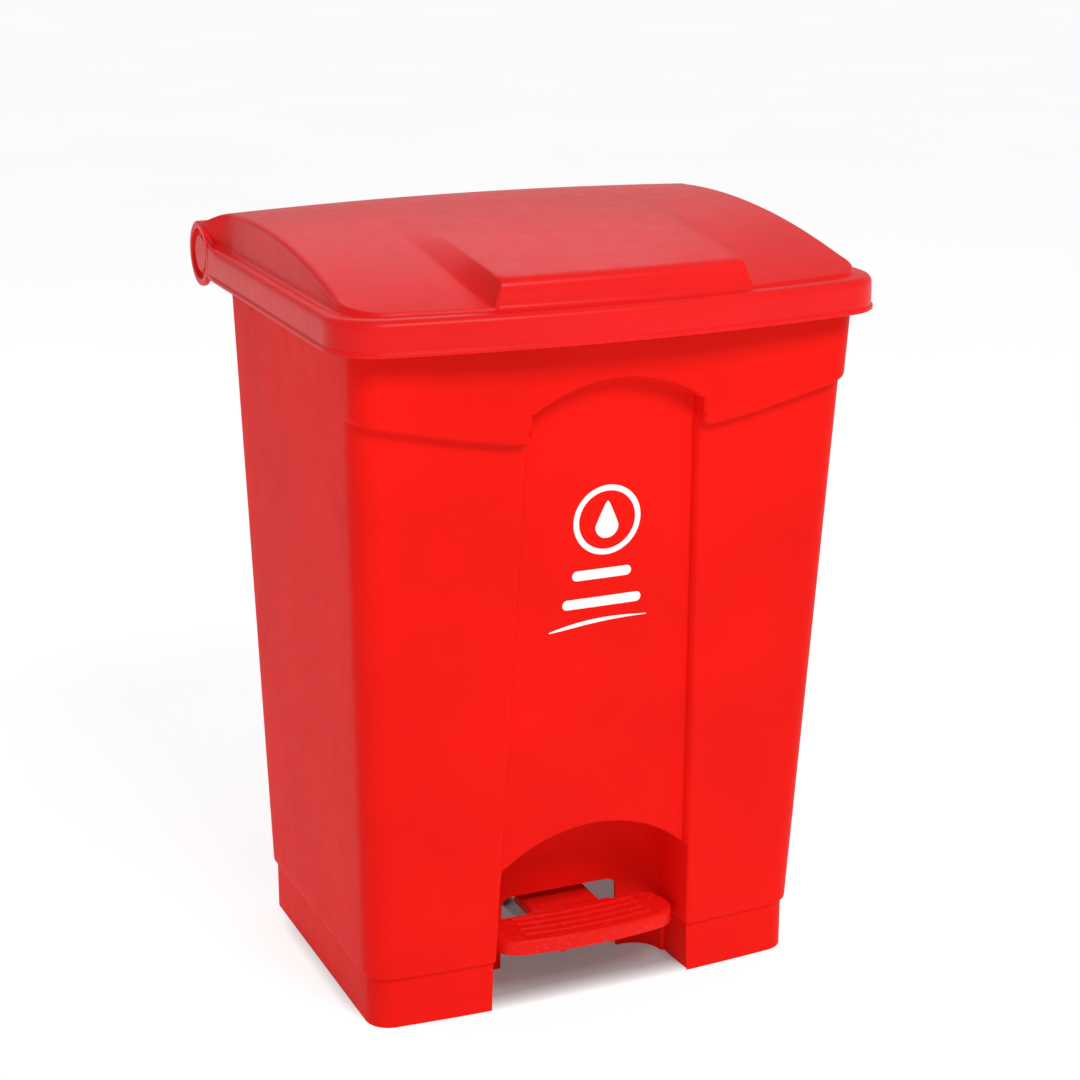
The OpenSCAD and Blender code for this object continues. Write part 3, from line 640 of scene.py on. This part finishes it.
# ---- lid ----


def wing_z(y):
    return CREST_Z - (y - CREST_Y) ** 2 / (2 * DOME_R)


def panel_z(y):
    """Raised panel: level with the wings at the crest, higher than them towards the nose."""
    run = max(0, CREST_Y - y) / (CREST_Y - LID_FRONT)
    return min(CREST_Z + 0.4, wing_z(y) + NOSE_H * run ** 1.6)


def dome_top(x, y, share):
    """Height of the dome; share is 0 on the wings and 1 on the raised panel."""
    s = smooth((y - SHOULDER_Y) / (HINGE_Y - SHOULDER_Y))
    wing = mix(wing_z(y), ROLL_TOP, s)
    panel = mix(panel_z(y), ROLL_TOP, s)
    crown = DOME_CROWN * (x / (LID_HW - LEDGE_SIDE)) ** 2
    return mix(wing, panel, share) - crown * (1 - s)


# Slope between the wing and the raised panel: place across it from the panel's edge, share of its height
SLOPE = [(-0.10, 1.0), (-0.03, 0.985), (0.03, 0.955), (0.10, 0.89), (0.25, 0.74), (0.5, 0.49),
         (0.75, 0.24), (0.9, 0.105), (0.97, 0.045), (1.03, 0.015), (1.12, 0.0)]
CORNER_STEPS = 14
SIDE_STEPS = 64
EDGE_R = 6.5
FOOT_R = 5.0
CREST_R = 5.0
SKIRT_END = HINGE_Y - 24.0
FLARE_START = HINGE_Y - 50.0
RIM_R = 26.5


def slope_width(y):
    """Width of the slope beside the panel: steep at the nose, wide towards the crest."""
    run = max(0, y - LID_FRONT)
    return 6.0 + 11.0 * (1 - math.exp(-run / 40)) + 0.02 * run


def lid_front_columns():
    """Kind, place and panel share of the lines that run back from the front edge, middle first."""
    cols = [("panel", t, 1) for t in (0, 0.25, 0.5, 0.7, 0.84, 0.93)]
    cols += [("slope", t, share) for t, share in SLOPE]
    cols += [("wing", i / 10, 0) for i in range(1, 11)]
    return cols


def front_line_x(col, y, x_end):
    kind, t, _ = col
    width = slope_width(y)
    if kind == "panel":
        return t * (PANEL_HW - 0.1 * width)
    if kind == "slope":
        return PANEL_HW + t * width
    return mix(PANEL_HW + SLOPE[-1][0] * width, x_end, t)


def lid_ring(hw, yf, rf, y_end):
    """Right half of a lid outline, from the middle of the front to the back: (x, y, panel share)."""
    cy, big, a, fy = bow_arc(hw, yf, LID_BOW, rf)
    x_end = big * math.sin(a)
    ring = []
    for col in lid_front_columns():
        px = front_line_x(col, LID_FRONT, x_end)
        ring.append((px, cy - math.sqrt(big * big - px * px), col[2]))
    for i in range(1, CORNER_STEPS + 1):
        ang = mix(-math.pi / 2 + a, 0, i / CORNER_STEPS)
        ring.append((hw - rf + rf * math.cos(ang), fy + rf * math.sin(ang), 0))
    for i in range(1, SIDE_STEPS + 1):
        ring.append((hw, mix(fy, y_end, i / SIDE_STEPS), 0))
    return ring


def ring_normals(ring):
    pts = np.array([(p[0], p[1]) for p in ring])
    step = np.gradient(pts, axis=0)
    step[0] = (1, 0)
    step[-1] = (0, 1)
    step /= np.linalg.norm(step, axis=1)[:, None]
    return [(s[1], -s[0]) for s in step]


def flare(y):
    """0 along the lid's side, 1 where the dome has spread out to the end of the roll."""
    return float(smooth((y - FLARE_START) / (HINGE_Y - 8 - FLARE_START)))


def skirt_rings():
    """Rings of the skirt from its lower edge, over the bead, up and over the rounded shoulder."""
    base = lid_ring(LID_HW, LID_FRONT, LID_CORNER, SKIRT_END)
    normals = ring_normals(base)
    rings = []
    profile = ((-0.8, 0), (-1.4, 0.3), (-1.5, 0.8), (-1.5, 2.6), (-1.2, 3.3), (-0.35, 3.6), (0.05, 4.0),
               (0.1, 4.8), (0, 5.6), (0, 9), (0, 14), (0.1, 19), (0.25, 21.5))
    for d, z in profile:
        rings.append([(x - nx * d * bead_fade(y, d), y - ny * d, SKIRT_Z + z)
                      for (x, y, _), (nx, ny) in zip(base, normals)])
    for deg in (12, 24, 36, 48, 60, 72, 84):
        a = math.radians(deg)
        ring = []
        for (x, y, _), (nx, ny) in zip(base, normals):
            r = EDGE_R * (1 - 0.9 * flare(y + 14))
            d = 0.3 + r * (1 - math.cos(a))
            ring.append((x - nx * d, y - ny * d, LEDGE_Z - r + r * math.sin(a)))
        rings.append(ring)
    return rings


def bead_fade(y, d):
    """Share of the bead that is left at a place along the side: it dies away before the roll."""
    if d >= 0:
        return 1.0
    return 1 - float(smooth((y - SKIRT_END + 26) / 24))


def dome_side_rings():
    """Rings from the ledge up the dome's side and over its crease, and the crease itself."""
    foot = lid_ring(LID_HW - LEDGE_SIDE, LID_FRONT + LEDGE_FRONT, DOME_CORNER, HINGE_Y)
    normals = ring_normals(foot)
    spread = LEDGE_SIDE - 0.9
    foot = [(x + spread * flare(y) * (nx > 0.5), y, share)
            for (x, y, share), (nx, ny) in zip(foot, normals)]
    data = []
    for (x, y, share), (nx, ny) in zip(foot, normals):
        f = flare(y)
        low = LEDGE_Z
        if y > SKIRT_END:
            low = max(low, HINGE_Z + math.sqrt(max(0, RIM_R ** 2 - (HINGE_Y - y) ** 2)))
        h = max(1.2, float(dome_top(x - nx * 8, y - ny * 8, share)) - low)
        lean = DOME_LEAN * (h + low - LEDGE_Z) / DOME_H * (1 - 0.8 * f)
        data.append((x, y, share, nx, ny, low, h, min(FOOT_R * (1 - 0.95 * f), 0.35 * h),
                     min(CREST_R * (1 + 0.7 * share) * (1 - 0.5 * f), 0.45 * h), lean))
    steps = [("foot", a) for a in (0, 20, 40, 60, 80)] + [("wall", t) for t in (0.2, 0.5, 0.8)]
    steps += [("crest", a) for a in (0, 15, 30, 45, 60, 75)]
    rings = []
    for kind, v in steps:
        ring = []
        for x, y, share, nx, ny, low, h, rf, rc, lean in data:
            a = math.radians(v) if kind != "wall" else 0
            if kind == "foot":
                d = -rf + rf * math.sin(a)
                z = rf * (1 - math.cos(a))
            elif kind == "wall":
                d = lean * v
                z = mix(rf, h - rc, v)
            else:
                d = lean + rc * (1 - math.cos(a))
                z = h - rc + rc * math.sin(a)
            ring.append((x - nx * d, y - ny * d, low + z))
        rings.append(ring)
    crease = [(x - nx * (lean + rc), y - ny * (lean + rc), share)
              for x, y, share, nx, ny, low, h, rf, rc, lean in data]
    return rings, crease


def dome_patch(crease):
    """Top of the dome inside the crease, right half: lines from the front edge, rows from the side."""
    columns = lid_front_columns()
    n_front = len(columns) + CORNER_STEPS // 2
    front = crease[:n_front]
    side = crease[n_front - 1:]
    corner = front[-1]
    grid = []
    for sx, sy, _ in side:
        v = (sy - corner[1]) / (HINGE_Y - corner[1])
        line = []
        for i, (fx, fyy, share) in enumerate(front):
            y = mix(fyy, HINGE_Y, v)
            if i < len(columns) and columns[i][0] != "wing":
                x = front_line_x(columns[i], mix(LID_FRONT, HINGE_Y, v), 0)
            else:
                inner = PANEL_HW + SLOPE[-1][0] * slope_width(LID_FRONT)
                k = (fx - inner) / (corner[0] - inner)
                x = mix(PANEL_HW + SLOPE[-1][0] * slope_width(mix(LID_FRONT, HINGE_Y, v)), sx, k)
            line.append((x, y, float(dome_top(x, y, share))))
        grid.append(line)
    return grid


def mirror_join(rows_right):
    """Full-width rows from right halves that start at x = 0."""
    return [[(-x, y, z) for x, y, z in reversed(row[1:])] + list(row) for row in rows_right]


def add_grid(points, faces, rows):
    offset = len(points)
    for row in rows:
        points += row
    faces += grid_faces(len(rows), len(rows[0]), offset=offset)


def lid_cover():
    rows = skirt_rings()
    side_rings, crease = dome_side_rings()
    rows += side_rings
    patch = dome_patch(crease)
    rows.append(list(patch[0]) + [patch[j][-1] for j in range(1, len(patch))])
    points, faces = [], []
    add_grid(points, faces, mirror_join(rows))
    add_grid(points, faces, mirror_join(patch))
    return points, faces, patch[-1]


def lid_roll(seam):
    """Roll over the hinge, from the dome's rear edge to the lip, and the two bands beside the dome."""
    points, faces = [], []
    band_x = [222, 226, 230, 234, DISC_IN]
    half_x = [p[0] for p in seam if p[0] < DISC_IN - 1] + [DISC_IN]
    xs = [-x for x in reversed(half_x[1:])] + half_x

    def arc_rows(columns, a0, a1, n):
        return [[(x, HINGE_Y + ROLL_R * math.cos(a), HINGE_Z + ROLL_R * math.sin(a)) for x in columns]
                for a in np.radians(np.linspace(a0, a1, n + 1))]

    add_grid(points, faces, arc_rows(xs, 90, -LIP_ANGLE, 42))
    for s in (-1, 1):
        add_grid(points, faces, arc_rows([s * x for x in band_x], 90, 200, 34))
    return points, faces


DISC_IN = 236.0
DISC_OUT = LID_HW + 0.15


def lathe_x(profile, side, steps=72):
    """Closed ring turned about the hinge axis; profile is a closed loop of (x, radius)."""
    points = []
    m = len(profile)
    for i in range(steps):
        a = 2 * math.pi * i / steps
        points += [(side * x, HINGE_Y + r * math.cos(a), HINGE_Z + r * math.sin(a)) for x, r in profile]
    faces = []
    for i in range(steps):
        j = (i + 1) % steps
        faces += [(i * m + k, j * m + k, j * m + (k + 1) % m, i * m + (k + 1) % m) for k in range(m)]
    return points, faces


def disc_profile():
    """End of the roll: rounded rim, recessed face, bore for the hub."""
    rim_r = 1.6
    recess_r = 22.0
    face_x = DISC_OUT - 4.2
    loop = [(DISC_IN - 3, 9.2), (DISC_IN - 3, ROLL_R - 3.2), (DISC_IN, ROLL_R - 3.2), (DISC_IN, ROLL_R)]
    for deg in (0, 22, 45, 68, 90):
        a = math.radians(deg)
        loop.append((DISC_OUT - rim_r + rim_r * math.sin(a), ROLL_R - rim_r + rim_r * math.cos(a)))
    for deg in (0, 30, 60, 90):
        a = math.radians(deg)
        loop.append((DISC_OUT - 0.9 + 0.9 * math.cos(a), recess_r + 1.4 - 0.9 * math.sin(a)))
    loop += [(face_x + 1.2, recess_r + 0.1), (face_x + 0.35, recess_r - 0.25),
             (face_x, recess_r - 1.2), (face_x, 9.2)]
    return loop


def build_lid():
    points, faces, seam = lid_cover()
    roll_points, roll_faces = lid_roll(seam)
    offset = len(points)
    points += roll_points
    faces += [tuple(offset + i for i in f) for f in roll_faces]
    cover = make_mesh("lid_moulding", points, faces, "lid", LID_RED)
    point_outwards(cover)
    thicken(cover, WALL - 0.4)
    smooth_by_angle(cover, 50)
    for side, name in ((-1, "left"), (1, "right")):
        disc_points, disc_faces = lathe_x(disc_profile(), side)
        disc = make_mesh("lid_end_" + name, disc_points, disc_faces, "lid", LID_RED)
        smooth_by_angle(disc, 35)
    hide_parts("lid_shell")
    return cover


def point_outwards(obj):
    """Turns an open skin's faces so that most point away from the lid's inside."""
    inside = Vector((0, 0, (SKIRT_Z - 100) * MM))
    mesh = obj.data
    facing = sum(p.area if p.normal.dot(p.center - inside) > 0 else -p.area for p in mesh.polygons)
    if facing < 0:
        mesh.flip_normals()


# ---- pedal ----

RIDGE_H = 1.6
RIDGES = 4
RIDGE_PITCH = 10.3
RIDGE_HALF_L = 61.0
RIDGE_HW = 2.2
RIDGE_BORDER = 13.0
TREAD_TOP = TREAD_HI[2] - RIDGE_H
TREAD_T = 14.0
TREAD_HW = TREAD_HI[0]
TREAD_L = 55.0
TREAD_BOW = 9.0
TREAD_CORNER = 24.0
TREAD_REAR_R = 8.0
TREAD_TAPER = math.radians(20)
TREAD_BACK = TREAD_LO[1] + TREAD_L
TREAD_FRONT = TREAD_LO[1] + TREAD_BOW
TONGUE_HW = 33.0
RIB_STEP = 3.0
RIB_DROP = 12.5
RIB_T = 5.8
RIB_H = 19.0
TONGUE_END = TREAD_HI[1]


def tread_ring(inset):
    """Outline of the tread: bowed front, rounded corners, ends that taper towards the back."""
    hw, yf, yb = TREAD_HW - inset, TREAD_FRONT + inset, TREAD_BACK - inset
    rf, rb = TREAD_CORNER - inset, TREAD_REAR_R - inset
    cy, big, a, fy = bow_arc(hw, yf, TREAD_BOW, rf)
    bx = hw - rf + (rf - rb - (yb - rb - fy) * math.sin(TREAD_TAPER)) / math.cos(TREAD_TAPER)
    right = [(big * math.sin(a * i / 14), cy - big * math.cos(a * i / 14)) for i in range(15)]
    for i in range(1, 11):
        t = mix(-math.pi / 2 + a, TREAD_TAPER, i / 10)
        right.append((hw - rf + rf * math.cos(t), fy + rf * math.sin(t)))
    for i in range(7):
        t = mix(TREAD_TAPER, math.pi / 2, i / 6)
        right.append((bx + rb * math.cos(t), yb - rb + rb * math.sin(t)))
    return right + [(-x, y) for x, y in reversed(right[1:])]


def tread_points():
    """Skin of the tread from its lower edge up over the rounded top edge, closed by a flat top."""
    rows = []
    r = 3.0
    for d, z in ((0.9, -TREAD_T), (0.3, -TREAD_T + 0.25), (0.0, -TREAD_T + 0.9), (0.0, -TREAD_T + 5),
                 (0.15, -r)):
        rows.append([(x, y, TREAD_TOP + z) for x, y in tread_ring(d)])
    for deg in (15, 30, 45, 60, 75, 90):
        a = math.radians(deg)
        z = TREAD_TOP - r + r * math.sin(a)
        rows.append([(x, y, z) for x, y in tread_ring(0.15 + r * (1 - math.cos(a)))])
    n = len(rows[0])
    points = [p for row in rows for p in row]
    faces = grid_faces(len(rows), n, wrap=True)
    faces.append(tuple(range((len(rows) - 1) * n, len(rows) * n)))
    return points, faces


def ridge_points(index):
    """One grip ridge: a rounded bar that follows the front edge's bow and dies away at its ends."""
    big = (TREAD_HW ** 2 + TREAD_BOW ** 2) / (2 * TREAD_BOW)
    y_mid = TREAD_LO[1] + RIDGE_BORDER + index * RIDGE_PITCH
    rows = []
    ends = [1 - math.cos(math.radians(a)) for a in (20, 40, 60, 75, 90)]
    xs = [-RIDGE_HALF_L + RIDGE_HW * e for e in ends]
    xs += list(np.linspace(-RIDGE_HALF_L + 4, RIDGE_HALF_L - 4, 29))
    xs += [RIDGE_HALF_L - RIDGE_HW * e for e in reversed(ends)]
    for x in xs:
        reach = max(0, abs(x) - RIDGE_HALF_L + RIDGE_HW) / RIDGE_HW
        k = math.sqrt(max(0.02, 1 - reach * reach))
        y0 = y_mid + big - math.sqrt(big * big - x * x)
        row = []
        for deg in (0, 12, 28, 45, 62, 78, 90, 102, 118, 135, 152, 168, 180):
            a = math.radians(deg)
            z = TREAD_TOP - 0.2 + (RIDGE_H + 0.2) * k * math.sin(a) ** 0.7
            row.append((x, y0 - RIDGE_HW * k * math.cos(a), z))
        rows.append(row)
    points = [p for row in rows for p in row]
    n = len(rows[0])
    faces = grid_faces(len(rows), n, wrap=True)
    faces += [tuple(range(n)), tuple(range((len(rows) - 1) * n, len(rows) * n))]
    return points, faces


def tongue_points():
    """Channel-shaped tongue that runs back through the slot, flared where it leaves the tread."""
    flare_r = 9.0
    rows = []
    start = TREAD_BACK - 6
    ys = list(np.linspace(start, TREAD_BACK + flare_r, 18))
    ys += list(np.linspace(TREAD_BACK + 12, TONGUE_END, 8))
    for y in ys:
        out = max(0, flare_r - max(0, y - TREAD_BACK))
        hw = TONGUE_HW + flare_r - math.sqrt(max(0, flare_r ** 2 - out ** 2))
        drop = 3.0 * float(smooth((y - TREAD_BACK + 1) / 9)) + 0.25
        z = TREAD_TOP - drop
        r = 2.0
        half = [(t * (hw - r), z) for t in (0, 0.3, 0.6, 0.85, 1)]
        half += [(hw - r + r * math.sin(math.radians(a)), z - r + r * math.cos(math.radians(a)))
                 for a in (22, 45, 68, 90)]
        half += [(hw, z - 5), (hw, z - 9)]
        rows.append([(-x, y, zz) for x, zz in reversed(half[1:])] + [(x, y, zz) for x, zz in half])
    points, faces = [], []
    add_grid(points, faces, rows)
    return points, faces


def build_pedal():
    points, faces = tread_points()
    tread = make_mesh("pedal_moulding", points, faces, "pedal", PEDAL_RED)
    thicken(tread, WALL)
    smooth_by_angle(tread, 40)
    for i in range(RIDGES):
        ridge_p, ridge_f = ridge_points(i)
        ridge = make_mesh("grip_ridge_%d" % (i + 1), ridge_p, ridge_f, "pedal", PEDAL_RED)
        smooth_by_angle(ridge, 60)
    tongue_p, tongue_f = tongue_points()
    tongue = make_mesh("pedal_tongue", tongue_p, tongue_f, "pedal", PEDAL_RED)
    if sum(f.normal.z for f in tongue.data.polygons) < 0:
        tongue.data.flip_normals()
    thicken(tongue, WALL)
    smooth_by_angle(tongue, 40)
    rib_x = abs(box_mm("lever_bar_left")[1][0]) - RIB_STEP
    rib_y = (TREAD_FRONT + WALL + TREAD_BACK) / 2
    rib_l = TREAD_BACK - TREAD_FRONT - WALL - 1
    for sign, side in ((-1, "left"), (1, "right")):
        rib = box_piece("pedal_rib_" + side, (sign * rib_x, rib_y, TREAD_TOP - RIB_DROP),
                        (RIB_T, rib_l, RIB_H), "pedal", PEDAL_RED)
        rib.data.shade_flat()
    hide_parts("pedal_tread")


def box_piece(name, centre, size, body, material, bevel=0.8):
    """Block with rounded edges, centred on a point; sizes in millimetres."""
    bm = bmesh.new()
    bmesh.ops.create_cube(bm, size=1.0)
    bmesh.ops.scale(bm, vec=Vector(size) * MM, verts=bm.verts)
    bmesh.ops.translate(bm, vec=Vector(centre) * MM, verts=bm.verts)
    bmesh.ops.bevel(bm, geom=list(bm.edges), offset=bevel * MM, segments=2, affect="EDGES")
    mesh = bpy.data.meshes.new(name)
    bm.to_mesh(mesh)
    bm.free()
    mesh.materials.append(material)
    obj = bpy.data.objects.new(name, mesh)
    bpy.context.scene.collection.objects.link(obj)
    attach(obj, body)
    return obj


def build_crank_seats():
    """Moulded blocks under the dome that the lid's steel cranks are screwed to."""
    seat_front, seat_rear, cover = 36, 8, 1.2
    top = HINGE_Z + math.sqrt(ROLL_R ** 2 - seat_rear ** 2) - cover
    for side in ("left", "right"):
        lo, hi = box_mm("lid_crank_" + side)
        centre = ((lo[0] + hi[0]) / 2, HINGE_Y - (seat_front + seat_rear) / 2, (hi[2] + top) / 2)
        box_piece("crank_seat_" + side, centre, (hi[0] - lo[0], seat_front - seat_rear, top - hi[2]),
                  "lid", LID_RED, 0.6)


# ---- print ----

PRINT_PROUD = 0.12
PRINT_T = 0.25


def panel_y(x, z):
    """Face of the recessed panel."""
    cy, big, _, _ = bow_arc(half_w(max(z, PLINTH_Z)), front_y(max(z, PLINTH_Z)), BOW, CORNER_R)
    return cy - math.sqrt(big * big - x * x) + RECESS_DEPTH


def print_strip(name, left, right):
    """Printed shape between two edges, each a list of (x, z), laid on the panel."""
    points, faces = [], []
    for proud in (PRINT_PROUD, PRINT_PROUD - PRINT_T):
        rows = [[(x, panel_y(x, z) - proud, z) for x, z in edge] for edge in (left, right)]
        add_grid(points, faces, rows)
    n = len(left)
    for k in range(n - 1):
        faces.append((k, k + 1, 2 * n + k + 1, 2 * n + k))
        faces.append((n + k, n + k + 1, 3 * n + k + 1, 3 * n + k))
    if left[0] != left[-1]:
        for k in (0, n - 1):
            faces.append((k, n + k, 3 * n + k, 2 * n + k))
    obj = make_mesh(name, points, faces, "bin", PRINT)
    smooth_by_angle(obj, 30)
    return obj


def circle_points(cx, cz, r, steps=72):
    return [(cx + r * math.sin(2 * math.pi * i / steps), cz + r * math.cos(2 * math.pi * i / steps))
            for i in range(steps)] + [(cx, cz + r)]


def drop_edges(cx, cz, r, tip):
    """Left and right edges of a plain drop: round below, pointed above."""
    left, right = [], []
    for i in range(33):
        a = math.pi * i / 32
        narrow = 1 - 0.55 * max(0, math.cos(a)) ** 1.5
        x = r * math.sin(a) * narrow
        z = cz + (r * math.cos(a) if a > math.pi / 2 else tip * math.cos(a) ** 1.4)
        left.append((cx - x, z))
        right.append((cx + x, z))
    return left, right


def bar_edges(x0, x1, z, half):
    """Lower and upper edges of a bar with round ends."""
    low, high = [], []
    turn = [math.radians(a) for a in (0, 15, 30, 45, 60, 75, 90)]
    xs = [(x0 + half - half * math.cos(a), half * math.sin(a)) for a in turn]
    xs += [(mix(x0 + half, x1 - half, i / 8), half) for i in range(1, 8)]
    xs += [(x1 - half + half * math.cos(a), half * math.sin(a)) for a in reversed(turn)]
    for x, h in xs:
        low.append((x, z - h))
        high.append((x, z + h))
    return low, high


def swoosh_edges():
    """Underline stroke: rises gently to the right and thins at both ends."""
    low, high = [], []
    for i in range(25):
        t = i / 24
        x = mix(-49.5, 40, t)
        z = mix(348, 354, t) + 3.2 * math.sin(math.pi * t)
        half = 0.35 + 1.5 * math.sin(math.pi * t ** 0.7)
        low.append((x, z - half))
        high.append((x, z + half))
    return low, high


def build_print():
    """Plain ring with a drop, two plain bars and an underline, in place of the photographed print."""
    cx, cz = 0.0, 443.0
    print_strip("print_ring", circle_points(cx, cz, 30.5), circle_points(cx, cz, 25.5))
    print_strip("print_drop", *drop_edges(cx, cz - 5.5, 10.5, 22.0))
    print_strip("print_bar_upper", *bar_edges(-30, 24, 396, 4.4))
    print_strip("print_bar_lower", *bar_edges(-38, 34, 371, 4.4))
    print_strip("print_underline", *swoosh_edges())


# ---- camera, floor, light ----


def set_camera():
    data = bpy.data.cameras.new("camera")
    camera = bpy.data.objects.new("camera", data)
    bpy.context.scene.collection.objects.link(camera)
    azimuth, elevation, roll = -23.71, 17.32, -0.14
    data.lens = 78.86
    data.sensor_width = 36
    camera.location = (-0.8028, -1.8480, 1.0075)
    camera.rotation_mode = "XYZ"
    camera.rotation_euler = (math.radians(90 - elevation), math.radians(roll), math.radians(azimuth))
    bpy.context.scene.camera = camera


def add_area(name, location, target, size, power, color=(1, 1, 1)):
    data = bpy.data.lights.new(name, "AREA")
    data.shape = "RECTANGLE"
    data.size, data.size_y = size
    data.energy = power
    data.color = color
    light = bpy.data.objects.new(name, data)
    light.location = location
    direction = Vector(target) - Vector(location)
    light.rotation_euler = direction.to_track_quat("-Z", "Y").to_euler()
    bpy.context.scene.collection.objects.link(light)


def set_stage():
    mat, nodes, links, shader = new_material("pale_floor")
    coord = nodes.new("ShaderNodeTexCoord")
    drift = noise(nodes, links, coord, 1.5)
    tone = ramp(nodes, links, drift.outputs["Fac"], [(0.3, grey(0.30)), (0.7, grey(0.33))])
    links.new(tone.outputs["Color"], shader.inputs["Base Color"])
    shader.inputs["Roughness"].default_value = 0.8
    shader.inputs["Specular IOR Level"].default_value = 0.1
    shader.inputs["Emission Color"].default_value = (1, 1, 1, 1)
    # The floor's emission is dimmed inside the bin's footprint: a painted contact shadow on the floor under the
    # bin.
    split = nodes.new("ShaderNodeSeparateXYZ")
    links.new(coord.outputs["Object"], split.inputs["Vector"])
    reach = []
    for axis, half in (("X", BASE_HW * MM), ("Y", -BASE_FRONT * MM)):
        across = nodes.new("ShaderNodeMath")
        across.operation = "DIVIDE"
        links.new(split.outputs[axis], across.inputs[0])
        across.inputs[1].default_value = half
        power = nodes.new("ShaderNodeMath")
        power.operation = "POWER"
        absolute = nodes.new("ShaderNodeMath")
        absolute.operation = "ABSOLUTE"
        links.new(across.outputs["Value"], absolute.inputs[0])
        links.new(absolute.outputs["Value"], power.inputs[0])
        power.inputs[1].default_value = 6
        reach.append(power)
    total = nodes.new("ShaderNodeMath")
    total.operation = "ADD"
    links.new(reach[0].outputs["Value"], total.inputs[0])
    links.new(reach[1].outputs["Value"], total.inputs[1])
    # Painted shadow: low emission under the bin, rising to full emission away from it.
    painted_shadow_glow = nodes.new("ShaderNodeMapRange")
    painted_shadow_glow.inputs["From Min"].default_value = 0.35
    painted_shadow_glow.inputs["From Max"].default_value = 1.3
    painted_shadow_glow.inputs["To Min"].default_value = 0.12
    painted_shadow_glow.inputs["To Max"].default_value = 0.8
    links.new(total.outputs["Value"], painted_shadow_glow.inputs["Value"])
    links.new(painted_shadow_glow.outputs["Result"], shader.inputs["Emission Strength"])
    size = 40
    mesh = bpy.data.meshes.new("floor")
    corners = [(-size, -size, 0), (size, -size, 0), (size, size, 0), (-size, size, 0)]
    mesh.from_pydata(corners, [], [(0, 1, 2, 3)])
    mesh.materials.append(mat)
    floor = bpy.data.objects.new("floor", mesh)
    bpy.context.scene.collection.objects.link(floor)
    set_world()
    add_area("key", (0.2, -2.5, 2.9), (0, 0, 0.35), (1.2, 1.0), 68)
    add_area("top", (0.3, 2.2, 2.2), (0, 0, 0.6), (2.4, 1.4), 9, (0.84, 0.90, 1.0))


def set_world():
    """Studio surround: bright behind the object, dimmer on the camera's side."""
    world = bpy.data.worlds.new("studio")
    world.use_nodes = True
    nodes = world.node_tree.nodes
    links = world.node_tree.links
    coord = nodes.new("ShaderNodeTexCoord")
    split = nodes.new("ShaderNodeSeparateXYZ")
    links.new(coord.outputs["Generated"], split.inputs["Vector"])
    shade = nodes.new("ShaderNodeMapRange")
    shade.inputs["From Min"].default_value = -0.5
    shade.inputs["From Max"].default_value = 0.6
    shade.inputs["To Min"].default_value = 0.42
    shade.inputs["To Max"].default_value = 0.5
    links.new(split.outputs["Y"], shade.inputs["Value"])
    links.new(shade.outputs["Result"], nodes["Background"].inputs["Color"])
    bpy.context.scene.world = world


def set_view():
    bpy.context.scene.view_settings.view_transform = "Standard"
    bpy.context.scene.view_settings.look = "None"


set_camera()
set_stage()
set_view()
dress_cad_nodes()
build_body()
build_lid()
build_crank_seats()
build_pedal()
build_print()
